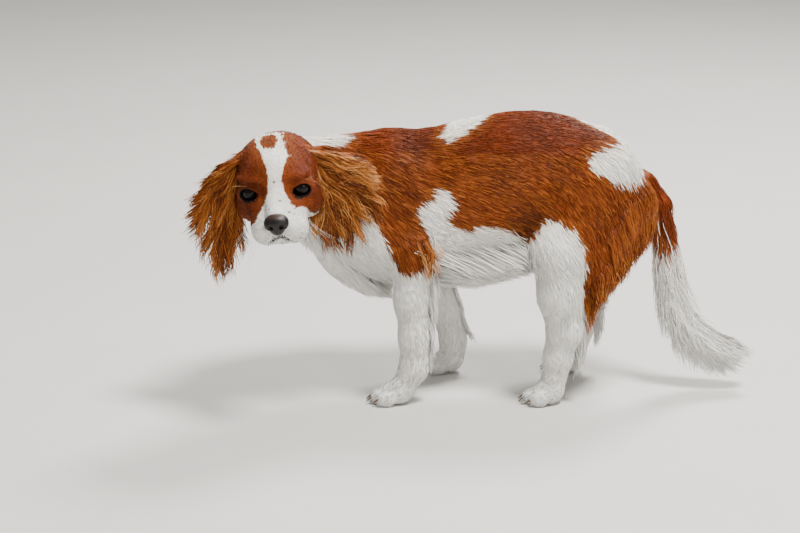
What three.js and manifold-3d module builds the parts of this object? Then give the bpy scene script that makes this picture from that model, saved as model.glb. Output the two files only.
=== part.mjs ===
// A cavalier king charles spaniel standing side on, its head turned to look over its left side.
// Millimetres, +Z up. The dog faces -X and its left side is -Y. The origin is under the middle of its box.
import * as THREE from "three";
import { mergeVertices } from "three/addons/utils/BufferGeometryUtils.js";
import Module from "manifold-3d";

const wasm = await Module();
wasm.setup();

// Driving dimensions
const gap = 0.3; // kept between neighbouring pieces
const eyeRadius = 11.5;
const footSpread = 58; // from the middle line to the middle of each paw
const grain = 0.01; // every corner of a finished solid is rounded to this

// The trunk from chest to rump: x, height of the back, height of the underline, half width
const trunkStations = [
  [-172, 250, 172, 34],
  [-150, 274, 146, 50],
  [-120, 292, 126, 60],
  [-90, 301, 118, 66],
  [-50, 305, 121, 71],
  [0, 316, 136, 75],
  [45, 323, 151, 74],
  [85, 322, 164, 69],
  [120, 312, 174, 63],
  [150, 295, 178, 56],
  [178, 270, 184, 44],
  [200, 244, 198, 28],
];

// The head's own frame sits midway between the eyes: side (its left), forward, up
const headPose = { eyes: [-213, -140, 262], pitch: 13, roll: 6.3, yaw: -1.6 };

const radians = THREE.MathUtils.degToRad;
const vec = (x, y, z) => new THREE.Vector3(x, y, z);

// The left legs are nearest the viewer. Each joint is x, y away from the middle line, z, radius
const foreLegs = {
  left: [
    [-66, 55, 172, 27],
    [-69, 57, 121, 22],
    [-66, 58, 80, 18.5],
    [-66, 58, 43, 16.5],
    [-77, 58, 21, 15],
  ],
  right: [
    [-58, 54, 172, 26],
    [-42, 56, 115, 20],
    [-29, 57, 75, 17.5],
    [-20, 58, 40, 16],
    [-20, 58, 21, 15],
  ],
};
const forePaws = { left: -88, right: -29 };
const hindLegs = {
  left: [
    [98, 56, 172, 36],
    [96, 60, 126, 28],
    [101, 58, 86, 21],
    [94, 58, 54, 16.5],
    [89, 58, 24, 15],
  ],
  right: [
    [112, 56, 172, 36],
    [116, 60, 126, 28],
    [134, 58, 86, 19],
    [128, 58, 54, 15.5],
    [122, 58, 24, 15],
  ],
};
const hindPaws = { left: 82, right: 114 };

// The middle line of the tail and the radius of its core: x, y, z, radius
const tailJoints = [
  [188, 0, 240, 16],
  [208, 1, 214, 14],
  [217, 0, 170, 11],
  [221, -2, 125, 10],
  [232, -4, 88, 10],
  [256, -5, 62, 9],
  [282, -6, 48, 7],
];

// The leather of each ear hangs in a flat sheet: x, z, half width
const earDrops = {
  left: [
    [-184, 296, 11],
    [-162, 287, 17],
    [-147, 262, 23],
    [-144, 240, 17],
  ],
  right: [
    [-250, 286, 11],
    [-264, 272, 15],
    [-273, 248, 17],
    [-272, 228, 13],
  ],
};
const earDepth = -108; // y of the sheet where it leaves the skull
const earBend = { left: 0.27, right: -0.12 }; // how fast it swings back, away from the face
const earThickness = 8;

// Fields give a signed distance in millimetres, below zero inside

const clamp01 = (t) => Math.min(1, Math.max(0, t));

function blendMin(a, b, reach) {
  const h = Math.max(reach - Math.abs(a - b), 0) / reach;
  return Math.min(a, b) - (h * h * reach) / 4;
}

const blendMax = (a, b, reach) => -blendMin(-a, -b, reach);

function ball(x, y, z, centre, radii) {
  const dx = (x - centre[0]) / radii[0];
  const dy = (y - centre[1]) / radii[1];
  const dz = (z - centre[2]) / radii[2];
  const near = Math.hypot(dx, dy, dz);
  const slope = Math.hypot(dx / radii[0], dy / radii[1], dz / radii[2]);
  return slope < 1e-9 ? -Math.min(...radii) : (near * (near - 1)) / slope;
}

function taper(x, y, z, from, to, radiusFrom, radiusTo) {
  const [ax, ay, az] = [to[0] - from[0], to[1] - from[1], to[2] - from[2]];
  const [px, py, pz] = [x - from[0], y - from[1], z - from[2]];
  const t = clamp01((px * ax + py * ay + pz * az) / (ax * ax + ay * ay + az * az));
  return Math.hypot(px - ax * t, py - ay * t, pz - az * t) - (radiusFrom + (radiusTo - radiusFrom) * t);
}

function limb(x, y, z, joints, reach) {
  let d = Infinity;
  for (let i = 1; i < joints.length; i++) {
    const [a, b] = [joints[i - 1], joints[i]];
    const bone = taper(x, y, z, a, b, a[3], b[3]);
    d = d === Infinity ? bone : blendMin(d, bone, reach);
  }
  return d;
}

// Reads a table of stations at x by a smooth cubic through its rows
function stationAt(stations, x) {
  const last = stations.length - 1;
  if (x <= stations[0][0]) return stations[0].slice(1);
  if (x >= stations[last][0]) return stations[last].slice(1);
  let i = 0;
  while (stations[i + 1][0] < x) i++;
  const rows = [i - 1, i, i + 1, i + 2].map((n) => stations[Math.min(last, Math.max(0, n))]);
  const span = rows[2][0] - rows[1][0];
  const t = (x - rows[1][0]) / span;
  return [1, 2, 3].map((column) => {
    const slope = (a, b) => (b[0] === a[0] ? 0 : ((b[column] - a[column]) / (b[0] - a[0])) * span);
    const [m0, m1] = [slope(rows[0], rows[2]), slope(rows[1], rows[3])];
    const [v0, v1] = [rows[1][column], rows[2][column]];
    const [t2, t3] = [t * t, t * t * t];
    return (2 * t3 - 3 * t2 + 1) * v0 + (t3 - 2 * t2 + t) * m0 + (3 * t2 - 2 * t3) * v1 + (t3 - t2) * m1;
  });
}

function trunk(x, y, z) {
  const [top, bottom, half] = stationAt(trunkStations, x);
  const middle = (top + bottom) / 2;
  const tall = (top - bottom) / 2;
  const round = (Math.hypot(y / half, (z - middle) / tall) - 1) * Math.min(half, tall);
  const front = trunkStations[0][0] - x;
  const back = x - trunkStations[trunkStations.length - 1][0];
  return blendMax(round, Math.max(front, back), 24);
}

function paw(x, y, z, heel) {
  const side = y - footSpread;
  let d = ball(x, y, z, [heel, footSpread, 12], [19, 16, 14]);
  for (let toe = 0; toe < 4; toe++) {
    const across = (toe - 1.5) * 9.2;
    const reach = Math.abs(toe - 1.5) < 1 ? 16 : 9;
    d = blendMin(d, ball(x, side, z, [heel - reach, across, 8.5], [12, 6.2, 10]), 2.5);
  }
  return d;
}

function foreLeg(x, y, z, side) {
  const leg = limb(x, y, z, foreLegs[side], 8);
  return blendMin(leg, paw(x, y, z, forePaws[side]), 9);
}

function hindLeg(x, y, z, side) {
  const leg = limb(x, y, z, hindLegs[side], 9);
  return blendMin(leg, paw(x, y, z, hindPaws[side]), 9);
}

function neck(x, y, z) {
  return limb(x, y, z, neckJoints, 20);
}
const neckJoints = [
  [-112, 0, 238, 55],
  [-158, -10, 242, 50],
  [-198, -38, 252, 43],
  [-212, -72, 258, 38],
];

// The body without its head, the same rule for both sides but for where the legs stand
function body(x, y, z) {
  const side = y < 0 ? "left" : "right";
  const out = Math.abs(y);
  let d = trunk(x, y, z);
  d = blendMin(d, ball(x, y, z, [-142, -4, 186], [36, 44, 54]), 24);
  d = blendMin(d, neck(x, y, z), 26);
  d = blendMin(d, taper(x, out, z, [-92, 28, 256], [-122, 42, 198], 34, 33), 20);
  d = blendMin(d, taper(x, out, z, [-122, 44, 198], [-70, 52, 172], 31, 27), 16);
  d = blendMin(d, taper(x, out, z, [136, 30, 256], [100, 48, 176], 44, 36), 20);
  d = blendMin(d, taper(x, out, z, [172, 30, 222], [138, 50, 150], 30, 20), 16);
  d = blendMin(d, foreLeg(x, out, z, side), 12);
  d = blendMin(d, hindLeg(x, out, z, side), 14);
  return d;
}

const headAxes = (() => {
  const turn = new THREE.Matrix4().makeRotationZ(radians(headPose.yaw));
  const nod = new THREE.Matrix4().makeRotationX(radians(headPose.pitch));
  const tilt = new THREE.Matrix4().makeRotationY(radians(-headPose.roll));
  const facing = new THREE.Matrix4().makeBasis(vec(1, 0, 0), vec(0, -1, 0), vec(0, 0, 1));
  const rotation = turn.multiply(nod).multiply(tilt).multiply(facing);
  const [side, forward, up] = [vec(), vec(), vec()];
  rotation.extractBasis(side, forward, up);
  return { side, forward, up };
})();

function toHead(x, y, z) {
  const [dx, dy, dz] = [x - headPose.eyes[0], y - headPose.eyes[1], z - headPose.eyes[2]];
  const along = (axis) => dx * axis.x + dy * axis.y + dz * axis.z;
  return [along(headAxes.side), along(headAxes.forward), along(headAxes.up)];
}

function fromHead(side, forward, up) {
  return vec(...headPose.eyes)
    .addScaledVector(headAxes.side, side)
    .addScaledVector(headAxes.forward, forward)
    .addScaledVector(headAxes.up, up);
}

const eyeCentre = [27, -8, 0];
const eyeTurn = radians(12); // each eye looks this far outwards
const noseCentre = [0, 40.5, -18];
const muzzleTurn = 2; // how far the end of the muzzle is turned to the dog's left

function muzzleShift(f) {
  const t = clamp01((f + 4) / 38);
  return muzzleTurn * t * t * (3 - 2 * t);
}

function head(x, y, z) {
  const [turned, f, u] = toHead(x, y, z);
  const s = turned - muzzleShift(f);
  const out = Math.abs(s);
  let d = ball(s, f, u, [0, -45, 8], [46, 50, 37]);
  d = blendMin(d, ball(s, f, u, [0, -15, 11], [33, 20, 24]), 10);
  d = blendMin(d, ball(out, f, u, eyeCentre, [15, 13.4, 14]), 7);
  d = blendMin(d, ball(out, f, u, [24, -7, 16], [15, 12, 6]), 7);
  d = blendMin(d, ball(out, f, u, [29, -24, -20], [18, 25, 22]), 14);
  d = blendMin(d, taper(s, f, u, [0, 0, -4], [0, 30, -13], 13, 11), 9);
  d = blendMin(d, ball(out, f, u, [19, 1, -17], [13, 16, 12]), 12);
  d = blendMin(d, ball(out, f, u, [13.5, 19, -29], [17, 20, 16]), 9);
  d = blendMin(d, ball(out, f, u, [15, 13, -38], [15.5, 19, 15.5]), 7);
  d = blendMin(d, ball(s, f, u, [0, 16, -41], [16, 18, 9]), 5);
  d = blendMin(d, taper(s, f, u, [0, 6, -34], [0, -52, -34], 15, 27), 12);
  return d;
}

// The direction in which a field rises fastest: straight out of the surface
function slopeAt(field, p) {
  const e = 0.5;
  const across = (dx, dy, dz) => field(p.x + dx, p.y + dy, p.z + dz) - field(p.x - dx, p.y - dy, p.z - dz);
  return vec(across(e, 0, 0), across(0, e, 0), across(0, 0, e)).normalize();
}

// Meshing: one vertex in each cell that the surface crosses, joined across each crossed edge.
// A copy that stands off has every vertex moved outwards by the same amount

function spaced(low, high, step) {
  const count = Math.ceil((high - low) / step);
  return Array.from({ length: count + 1 }, (_, i) => low + ((high - low) * i) / count);
}

// Where the inside of a cell's face meets only across its diagonal, the nearer outside corner is filled
function fillDiagonals(value, [nx, ny, nz]) {
  const steps = [1, nx, nx * ny];
  let changed = true;
  while (changed) {
    changed = false;
    for (let n = 0; n < value.length - steps[2] - steps[1] - 1; n++)
      for (const [u, v] of [[0, 1], [1, 2], [0, 2]]) {
        const face = [n, n + steps[u], n + steps[u] + steps[v], n + steps[v]];
        const [a, b, c, d] = face.map((corner) => value[corner] < 0);
        if (a !== c || b !== d || a === b) continue;
        const outside = a ? [face[1], face[3]] : [face[0], face[2]];
        outside.sort((p, q) => value[p] - value[q]);
        value[outside[0]] = -0.01;
        changed = true;
      }
  }
}

function surface(field, [xs, ys, zs], grow = 0) {
  const [nx, ny, nz] = [xs.length, ys.length, zs.length];
  const at = (i, j, k) => (k * ny + j) * nx + i;
  const value = new Float64Array(nx * ny * nz);
  for (let k = 0; k < nz; k++)
    for (let j = 0; j < ny; j++)
      for (let i = 0; i < nx; i++) {
        const border = i === 0 || j === 0 || k === 0 || i === nx - 1 || j === ny - 1 || k === nz - 1;
        const d = field(xs[i], ys[j], zs[k]);
        value[at(i, j, k)] = border ? Math.max(d, 0.01) : d;
      }
  fillDiagonals(value, [nx, ny, nz]);
  const cell = new Map();
  const positions = [];
  const corners = [0, 1, 2, 3, 4, 5, 6, 7].map((n) => [n & 1, (n >> 1) & 1, n >> 2]);
  for (let k = 0; k < nz - 1; k++)
    for (let j = 0; j < ny - 1; j++)
      for (let i = 0; i < nx - 1; i++) {
        const v = corners.map(([a, b, c]) => value[at(i + a, j + b, k + c)]);
        const inside = v.filter((d) => d < 0).length;
        if (inside === 0 || inside === 8) continue;
        const sum = vec();
        let crossings = 0;
        for (let m = 0; m < 8; m++)
          for (const bit of [1, 2, 4]) {
            const n = m | bit;
            if (m & bit || v[m] < 0 === v[n] < 0) continue;
            const t = v[m] / (v[m] - v[n]);
            const [a, b] = [corners[m], corners[n]];
            sum.x += xs[i + a[0]] + (xs[i + b[0]] - xs[i + a[0]]) * t;
            sum.y += ys[j + a[1]] + (ys[j + b[1]] - ys[j + a[1]]) * t;
            sum.z += zs[k + a[2]] + (zs[k + b[2]] - zs[k + a[2]]) * t;
            crossings++;
          }
        cell.set(at(i, j, k), positions.length / 3);
        positions.push(sum.x / crossings, sum.y / crossings, sum.z / crossings);
      }
  const point = (n) => vec(positions[3 * n], positions[3 * n + 1], positions[3 * n + 2]);
  const faces = [];
  const quad = (a, b, c, d) => {
    const short = point(a).distanceTo(point(c)) <= point(b).distanceTo(point(d));
    faces.push(...(short ? [a, b, c, a, c, d] : [a, b, d, b, c, d]));
  };
  for (let k = 0; k < nz - 1; k++)
    for (let j = 0; j < ny - 1; j++)
      for (let i = 0; i < nx - 1; i++) {
        const here = value[at(i, j, k)] < 0;
        const ring = (cells) => cells.map(([a, b, c]) => cell.get(at(i + a, j + b, k + c)));
        const edges = [
          [at(i + 1, j, k), [[0, -1, -1], [0, 0, -1], [0, 0, 0], [0, -1, 0]]],
          [at(i, j + 1, k), [[-1, 0, -1], [-1, 0, 0], [0, 0, 0], [0, 0, -1]]],
          [at(i, j, k + 1), [[-1, -1, 0], [0, -1, 0], [0, 0, 0], [-1, 0, 0]]],
        ];
        for (const [other, cells] of edges) {
          if (value[other] < 0 === here) continue;
          const [a, b, c, d] = ring(cells);
          if (here) quad(a, b, c, d);
          else quad(d, c, b, a);
        }
      }
  for (let n = 0; grow && n < positions.length; n += 3) {
    const p = vec(positions[n], positions[n + 1], positions[n + 2]);
    p.addScaledVector(slopeAt(field, p), grow).toArray(positions, n);
  }
  const geometry = new THREE.BufferGeometry();
  geometry.setAttribute("position", new THREE.Float32BufferAttribute(positions, 3));
  geometry.setIndex(faces);
  return geometry;
}

// Solids: three.js geometry in, joined or cut, geometry out

function solid(geometry) {
  const plain = geometry.clone();
  plain.deleteAttribute("normal");
  plain.deleteAttribute("uv");
  const merged = mergeVertices(plain, 1e-4);
  return new wasm.Manifold(
    new wasm.Mesh({
      numProp: 3,
      vertProperties: new Float32Array(merged.attributes.position.array),
      triVerts: new Uint32Array(merged.index.array),
    }),
  );
}

// The finished geometry, its corners on a fine grid so that no cut leaves a sliver
function geometryOf(made) {
  const mesh = made.getMesh();
  const rounded = Float32Array.from(mesh.vertProperties, (v) => Math.round(v / grain) * grain);
  const geometry = new THREE.BufferGeometry();
  geometry.setAttribute("position", new THREE.BufferAttribute(rounded, 3));
  geometry.setIndex(new THREE.BufferAttribute(mesh.triVerts, 1));
  const merged = mergeVertices(geometry, grain / 10);
  const faces = new Map();
  const index = merged.index.array;
  for (let n = 0; n < index.length; n += 3) {
    const face = [index[n], index[n + 1], index[n + 2]];
    if (new Set(face).size < 3) continue;
    const first = face.indexOf(Math.min(...face));
    const turned = [face[first], face[(first + 1) % 3], face[(first + 2) % 3]];
    const reverse = [turned[0], turned[2], turned[1]].join();
    if (faces.has(reverse)) faces.delete(reverse);
    else faces.set(turned.join(), turned);
  }
  merged.setIndex([...faces.values()].flat());
  return merged;
}

function largest(made) {
  const pieces = made.decompose();
  return pieces.reduce((best, piece) => (piece.volume() > best.volume() ? piece : best));
}

// A great block whose one face lies on the plane and which fills the side that the normal points away from
function behind(point, normal, shift = 0) {
  const size = 2000;
  const block = new THREE.BoxGeometry(size, size, size);
  block.translate(0, 0, -size / 2 + shift);
  const turn = new THREE.Quaternion().setFromUnitVectors(vec(0, 0, 1), normal.clone().normalize());
  block.applyQuaternion(turn).translate(point.x, point.y, point.z);
  return solid(block);
}

const half = gap / 2;
const grown = 0.5; // how far a copy stands off its piece where a neighbour is fitted against it

// Where the legs leave the trunk: a plane that climbs outwards, on each side
const foreCut = { low: 101, climb: 1.05, end: { left: -30, right: 6 }, endSign: -1 };
const hindCut = { low: 150, climb: 0.625, end: { left: 52, right: 56 }, endSign: 1 };

function legSpace(cut, sideSign, shift) {
  const top = behind(vec(0, 0, cut.low), vec(0, -sideSign * cut.climb, 1), shift);
  const side = behind(vec(0, 0, 0), vec(0, -sideSign, 0), -1);
  const end = behind(vec(cut.end[sideSign < 0 ? "left" : "right"], 0, 0), vec(-cut.endSign, 0, 0), shift);
  return top.intersect(side).intersect(end);
}

const neckPlane = { point: vec(-146, 0, 235), normal: vec(-0.86, -0.12, 0.5) };
const headPlane = {
  point: fromHead(0, -85, 30),
  normal: fromHead(0, 0.886, 0.463).sub(fromHead(0, 0, 0)),
};

const skin = (x, y, z) => blendMin(body(x, y, z), head(x, y, z), 16);

const earSheet = (x, name) => earDepth + earBend[name] * (x - earDrops[name][0][0]);

function earField(x, y, z, name) {
  const drop = earDrops[name].map(([jx, jz, r]) => [jx, 0, jz, r]);
  const sheet = limb(x, 0, z, drop, 8);
  return blendMax(sheet, Math.abs(y - earSheet(x, name)) - earThickness, 9);
}

const tailField = (x, y, z) => limb(x, y, z, tailJoints, 8);

function makeTorso(grow) {
  const cells = [spaced(-205, 232, 19.5), spaced(-102, 102, 18), spaced(90, 350, 18.5)];
  let made = solid(surface(body, cells, grow));
  for (const side of [-1, 1]) {
    made = made.subtract(legSpace(foreCut, side, half));
    made = made.subtract(legSpace(hindCut, side, half));
  }
  made = made.intersect(behind(neckPlane.point, neckPlane.normal, -half));
  return largest(made);
}

function makeNeck(grow) {
  const cells = [spaced(-290, -90, 15.5), spaced(-150, 80, 15.5), spaced(150, 345, 15.5)];
  let made = solid(surface(skin, cells, grow));
  made = made.subtract(behind(neckPlane.point, neckPlane.normal, half));
  made = made.subtract(behind(headPlane.point, headPlane.normal.clone().negate(), half));
  return largest(made);
}

// A field written in the head's frame, meshed there and carried into place.
// That frame is left handed, so the faces are turned over
function headSurface(field, cells, grow) {
  const geometry = surface(field, cells, grow);
  geometry.index.array.reverse();
  const basis = new THREE.Matrix4().makeBasis(headAxes.side, headAxes.forward, headAxes.up);
  geometry.applyMatrix4(basis.setPosition(...headPose.eyes));
  return geometry;
}

function makeHead(grow) {
  const field = (s, f, u) => {
    const p = fromHead(s, f, u);
    return skin(p.x, p.y, p.z);
  };
  const along = [...spaced(-130, -18, 11).slice(0, -1), ...spaced(-18, 58, 5.8)];
  let made = solid(headSurface(field, [spaced(-62, 62, 7.2), along, spaced(-75, 62, 7)], grow));
  made = made.intersect(behind(headPlane.point, headPlane.normal.clone().negate(), -half));
  return largest(made);
}

function makeLeg(sideSign, cut, [front, back, inner, outer], grow) {
  const ys = sideSign < 0 ? spaced(-outer, -inner, 10.5) : spaced(inner, outer, 10.5);
  const zs = [...spaced(-12, 26, 7.5).slice(0, -1), ...spaced(26, 235, 18)];
  let made = solid(surface(body, [spaced(front, back, 11), ys, zs], grow));
  made = made.intersect(legSpace(cut, sideSign, -half));
  made = made.intersect(behind(vec(0, 0, 0), vec(0, 0, -1)));
  return largest(made);
}

// The leather of one ear, hollowed on the side that lies against the neck
function makeEar(name) {
  const field = (x, y, z) => earField(x, y, z, name);
  const xs = name === "left" ? spaced(-205, -108, 10) : spaced(-304, -228, 10);
  const core = solid(surface(field, [xs, spaced(-128, -76, 7), spaced(200, 320, 11)]));
  const [x, z] = earDrops[name][1];
  const cup = new THREE.SphereGeometry(1, 8, 6).scale(11, 5, 20);
  return core.subtract(solid(cup.translate(x, earSheet(x, name) + earThickness + 1, z - 14)));
}

function makeTail() {
  return solid(surface(tailField, [spaced(160, 304, 11), spaced(-28, 24, 9), spaced(30, 268, 11)]));
}

function eyeSphere(side, radius) {
  const sphere = new THREE.SphereGeometry(radius, 12, 8);
  const centre = fromHead(side * eyeCentre[0], eyeCentre[1], eyeCentre[2]);
  return solid(sphere.translate(centre.x, centre.y, centre.z));
}

function noseField(turned, f, u) {
  const s = turned - muzzleShift(f);
  const [ns, nf, nu] = noseCentre;
  const top = ball(s, f, u, [ns, nf, nu + 3], [12.8, 9, 8]);
  const front = ball(s, f, u, [ns, nf + 1.5, nu - 3], [8.4, 7.5, 9]);
  return blendMin(top, front, 4);
}

function makeNose(grow) {
  return solid(headSurface(noseField, [spaced(-18, 18, 4), spaced(24, 58, 4), spaced(-38, 0, 4)], grow));
}

// A round body of three radii set in the head's frame, turned outwards as the eyes are
function headBall([s, f, u], radii, turn, sides, rings) {
  const sphere = new THREE.SphereGeometry(1, sides, rings).scale(...radii);
  sphere.rotateX(Math.PI / 2).rotateZ(turn);
  const basis = new THREE.Matrix4().makeBasis(headAxes.side.clone().negate(), headAxes.forward, headAxes.up);
  sphere.applyMatrix4(basis.setPosition(fromHead(s, f, u)));
  return solid(sphere);
}

const eyeAxis = (side, reach) => {
  const [s, f, u] = eyeCentre;
  return [side * (s + Math.sin(eyeTurn) * reach), f + Math.cos(eyeTurn) * reach, u];
};

// The opening between the lids, and the thick rim round it
const lidOpening = (side) => headBall(eyeAxis(side, 11), [8.4, 7.4, 7], side * eyeTurn, 12, 8);

function lidRim(side) {
  const ring = new THREE.TorusGeometry(8.3, 1.7, 4, 12).scale(1, 0.92, 1);
  ring.rotateX(Math.PI / 2).rotateZ(side * eyeTurn);
  const basis = new THREE.Matrix4().makeBasis(headAxes.side.clone().negate(), headAxes.forward, headAxes.up);
  return solid(ring.applyMatrix4(basis.setPosition(fromHead(...eyeAxis(side, 8)))));
}

// A fine groove along the skin through points of the head's frame
function groove(points) {
  const onMuzzle = ([s, f, u]) => offSurface(skin, fromHead(s + muzzleShift(f), f, u), 0.3);
  const line = new THREE.CatmullRomCurve3(points.map(onMuzzle));
  const r = 1.5;
  const corners = [[r, 0], [0, r], [-r, 0], [0, -r]];
  const section = new THREE.Shape(corners.map(([a, b]) => new THREE.Vector2(a, b)));
  return solid(new THREE.ExtrudeGeometry(section, { steps: 6, extrudePath: line, bevelEnabled: false }));
}

const mouthSide = (side) => [[0, 44, -37], [side * 8, 37, -43], [side * 17, 27, -49], [side * 27, 10, -48]];
const philtrum = [[0, 50, -28], [0, 46, -33], [0, 44, -37]];

function finishHead(grow) {
  let made = makeHead(grow);
  for (const side of [-1, 1]) {
    made = made.add(lidRim(side)).subtract(lidOpening(side));
    if (!grow) made = made.subtract(groove(mouthSide(side)));
  }
  return grow ? made : made.subtract(groove(philtrum));
}

function finishNose(grow) {
  const made = makeNose(grow);
  if (grow) return made;
  const [ns, nf, nu] = noseCentre;
  const middle = ns + muzzleTurn;
  const nostril = (side) =>
    headBall([middle + side * 5.4, nf + 9.5, nu - 1], [2.5, 2.8, 3.6], side * 0.5, 8, 6);
  return made.subtract(nostril(-1)).subtract(nostril(1));
}

// Hair locks: flat blades of few sides that taper and bend away from a sunken root

let seed = 11;

function random(low, high) {
  seed = (seed * 16807) % 2147483647;
  return low + ((high - low) * seed) / 2147483647;
}

// Moves a point until it lies this far outside a field's surface, or inside it if the distance is negative
function offSurface(field, point, distance) {
  const p = point.clone();
  for (let n = 0; n < 10; n++) p.addScaledVector(slopeAt(field, p), distance - field(p.x, p.y, p.z));
  return p;
}

function blade({ curve, out, width, thick }, swell) {
  const cone = new THREE.ConeGeometry(1, 1, 3, 3);
  const position = cone.attributes.position;
  for (let n = 0; n < position.count; n++) {
    const t = position.getY(n) + 0.5;
    const along = curve.getTangent(t);
    const side = along.clone().cross(out).normalize();
    const flat = side.clone().cross(along);
    const full = Math.sqrt(1 - t) * (0.75 + 0.5 * t);
    const taperHere = Math.max(1 - t, 1e-6);
    const across = (position.getX(n) / taperHere) * (width * full + swell);
    const deep = (position.getZ(n) / taperHere) * (thick * full + swell);
    const p = curve.getPoint(t);
    if (t > 0.999) p.addScaledVector(along, swell * 2);
    else p.addScaledVector(side, across).addScaledVector(flat, deep);
    if (t < 0.001) p.addScaledVector(along, -swell);
    position.setXYZ(n, p.x, p.y, p.z);
  }
  return solid(cone);
}

// A row of locks from roots along one line to tips along another. Tips with a lift lie that far off the coat
function fringe(field, rootLine, tipLine, count, size) {
  const smooth = (line) => new THREE.CatmullRomCurve3(line.map((p) => vec(...p)));
  const [roots, tips] = [smooth(rootLine), smooth(tipLine)];
  return Array.from({ length: count }, (_, n) => {
    const t = clamp01((n + 0.5 + random(-0.22, 0.22)) / count);
    const root = offSurface(field, roots.getPoint(t), -(size.sink ?? 4));
    const out = slopeAt(field, root);
    const loose = vec(random(-3, 3), random(-2, 2), random(-3, 3));
    let tip = tips.getPoint(t).add(loose);
    let middle = root.clone().lerp(tip, 0.5).addScaledVector(out, size.bulge ?? 5);
    if (size.lift) {
      tip = offSurface(field, tip, size.lift);
      middle = offSurface(field, middle, size.lift * 0.6);
    }
    const curve = new THREE.QuadraticBezierCurve3(root, middle, tip);
    return { curve, out, width: size.width * random(0.85, 1.15), thick: size.thick };
  });
}

// The same row on the other side of the body
const flip = (line) => line.map(([x, y, z]) => [x, -y, z]);
const shifted = (line, dx, dy, dz) => line.map(([x, y, z]) => [x + dx, y + dy, z + dz]);

const chest = { width: 12, thick: 4.5, lift: 7, sink: 4 };
const belly = { width: 10, thick: 4, lift: 5, sink: 4 };
const feather = { width: 7, thick: 3.5, sink: 4 };
const trousers = { width: 11, thick: 5, sink: 6, bulge: 8 };
const earHair = { width: 10.5, thick: 3.5, sink: 3, bulge: 3 };
const plume = { width: 11, thick: 4.5, sink: 4, bulge: 7 };

const rumpRoots = [[194, -34, 232], [196, -40, 214], [184, -46, 196]];
const rumpTips = [[206, -38, 186], [198, -44, 168], [182, -50, 152]];
const bellyRoots = [[-34, -34, 140], [8, -32, 150], [52, -30, 162]];
const bellyTips = [[8, -30, 128], [50, -28, 140], [88, -26, 154]];

// Three rows down the front of the chest
const breastRoots = [[-158, -34, 188], [-168, -4, 180], [-156, 30, 188]];
const breastTips = [[-150, -38, 142], [-159, -4, 138], [-148, 32, 142]];
const brisketRoots = [[-148, -44, 176], [-158, -4, 168], [-148, 40, 176]];
const brisketTips = [[-128, -40, 126], [-138, -4, 120], [-128, 36, 126]];
const keelRoots = [[-124, -30, 146], [-130, 0, 140], [-124, 28, 146]];
const keelTips = [[-92, -26, 112], [-98, 0, 108], [-92, 24, 112]];

const torsoLocks = [
  ...fringe(body, breastRoots, breastTips, 5, chest),
  ...fringe(body, brisketRoots, brisketTips, 5, chest),
  ...fringe(body, keelRoots, keelTips, 3, chest),
  ...fringe(body, bellyRoots, bellyTips, 3, belly),
  ...fringe(body, flip(bellyRoots), flip(bellyTips), 3, belly),
  ...fringe(body, rumpRoots, rumpTips, 4, trousers),
  ...fringe(body, flip(rumpRoots), flip(rumpTips), 4, trousers),
];

const throatRoots = [[-190, -66, 222], [-178, -34, 212], [-166, 2, 208]];
const neckLocks = fringe(skin, throatRoots, shifted(throatRoots, 10, 2, -42), 5, chest);

const foreRoots = [[-46, -56, 152], [-48, -58, 116], [-48, -58, 80], [-50, -58, 48]];
const foreTips = [[-30, -60, 120], [-36, -60, 82], [-38, -60, 48], [-42, -60, 20]];
const farForeRoots = [[-32, 56, 150], [-22, 57, 112], [-11, 58, 76], [-5, 58, 48]];
const farForeTips = [[-20, 60, 118], [-12, 60, 80], [0, 60, 50], [14, 60, 26]];
const hindRoots = [[168, -50, 168], [150, -54, 150], [134, -58, 128], [122, -58, 104]];
const hindTips = [[178, -54, 146], [157, -58, 130], [137, -60, 106], [126, -60, 76]];
const hockRoots = [[120, -58, 84], [110, -58, 56]];
const farHindRoots = [[176, 50, 168], [164, 54, 150], [156, 58, 128], [154, 58, 104]];
const farHindTips = [[184, 54, 132], [172, 58, 112], [164, 60, 92], [157, 60, 66]];
const farHockRoots = [[153, 58, 84], [142, 58, 56]];

const legLocks = {
  left_foreleg: fringe(body, foreRoots, foreTips, 7, feather),
  right_foreleg: fringe(body, farForeRoots, farForeTips, 7, feather),
  left_hindleg: [
    ...fringe(body, hindRoots, hindTips, 5, { ...trousers, width: 9 }),
    ...fringe(body, hockRoots, shifted(hockRoots, 4, -2, -30), 3, feather),
  ],
  right_hindleg: [
    ...fringe(body, farHindRoots, farHindTips, 5, { ...trousers, width: 9 }),
    ...fringe(body, farHockRoots, shifted(farHockRoots, 4, 2, -30), 3, feather),
  ],
};

// Ear locks, their roots and tips as x and z: one row round the edge, one over each face of the leather
const earRows = {
  left: {
    edge: [
      [[-166, 297], [-138, 282], [-128, 262], [-132, 244], [-146, 230], [-158, 238], [-165, 258]],
      [[-132, 297], [-108, 275], [-97, 240], [-101, 208], [-130, 181], [-163, 178], [-176, 230]],
      12,
    ],
    face: [
      [[-174, 294], [-152, 278], [-140, 258], [-152, 244]],
      [[-124, 264], [-110, 226], [-128, 192], [-166, 200]],
      5,
    ],
  },
  right: {
    edge: [
      [[-268, 284], [-286, 254], [-284, 232], [-274, 220], [-264, 226], [-258, 246]],
      [[-288, 264], [-308, 230], [-302, 190], [-274, 154], [-254, 186], [-247, 222]],
      10,
    ],
    face: [
      [[-256, 288], [-272, 266], [-276, 244], [-264, 238]],
      [[-288, 244], [-296, 208], [-278, 178], [-254, 204]],
      4,
    ],
  },
};

const faceDepth = 9; // how far the locks of a face lie in front of or behind the middle of the sheet

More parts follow.
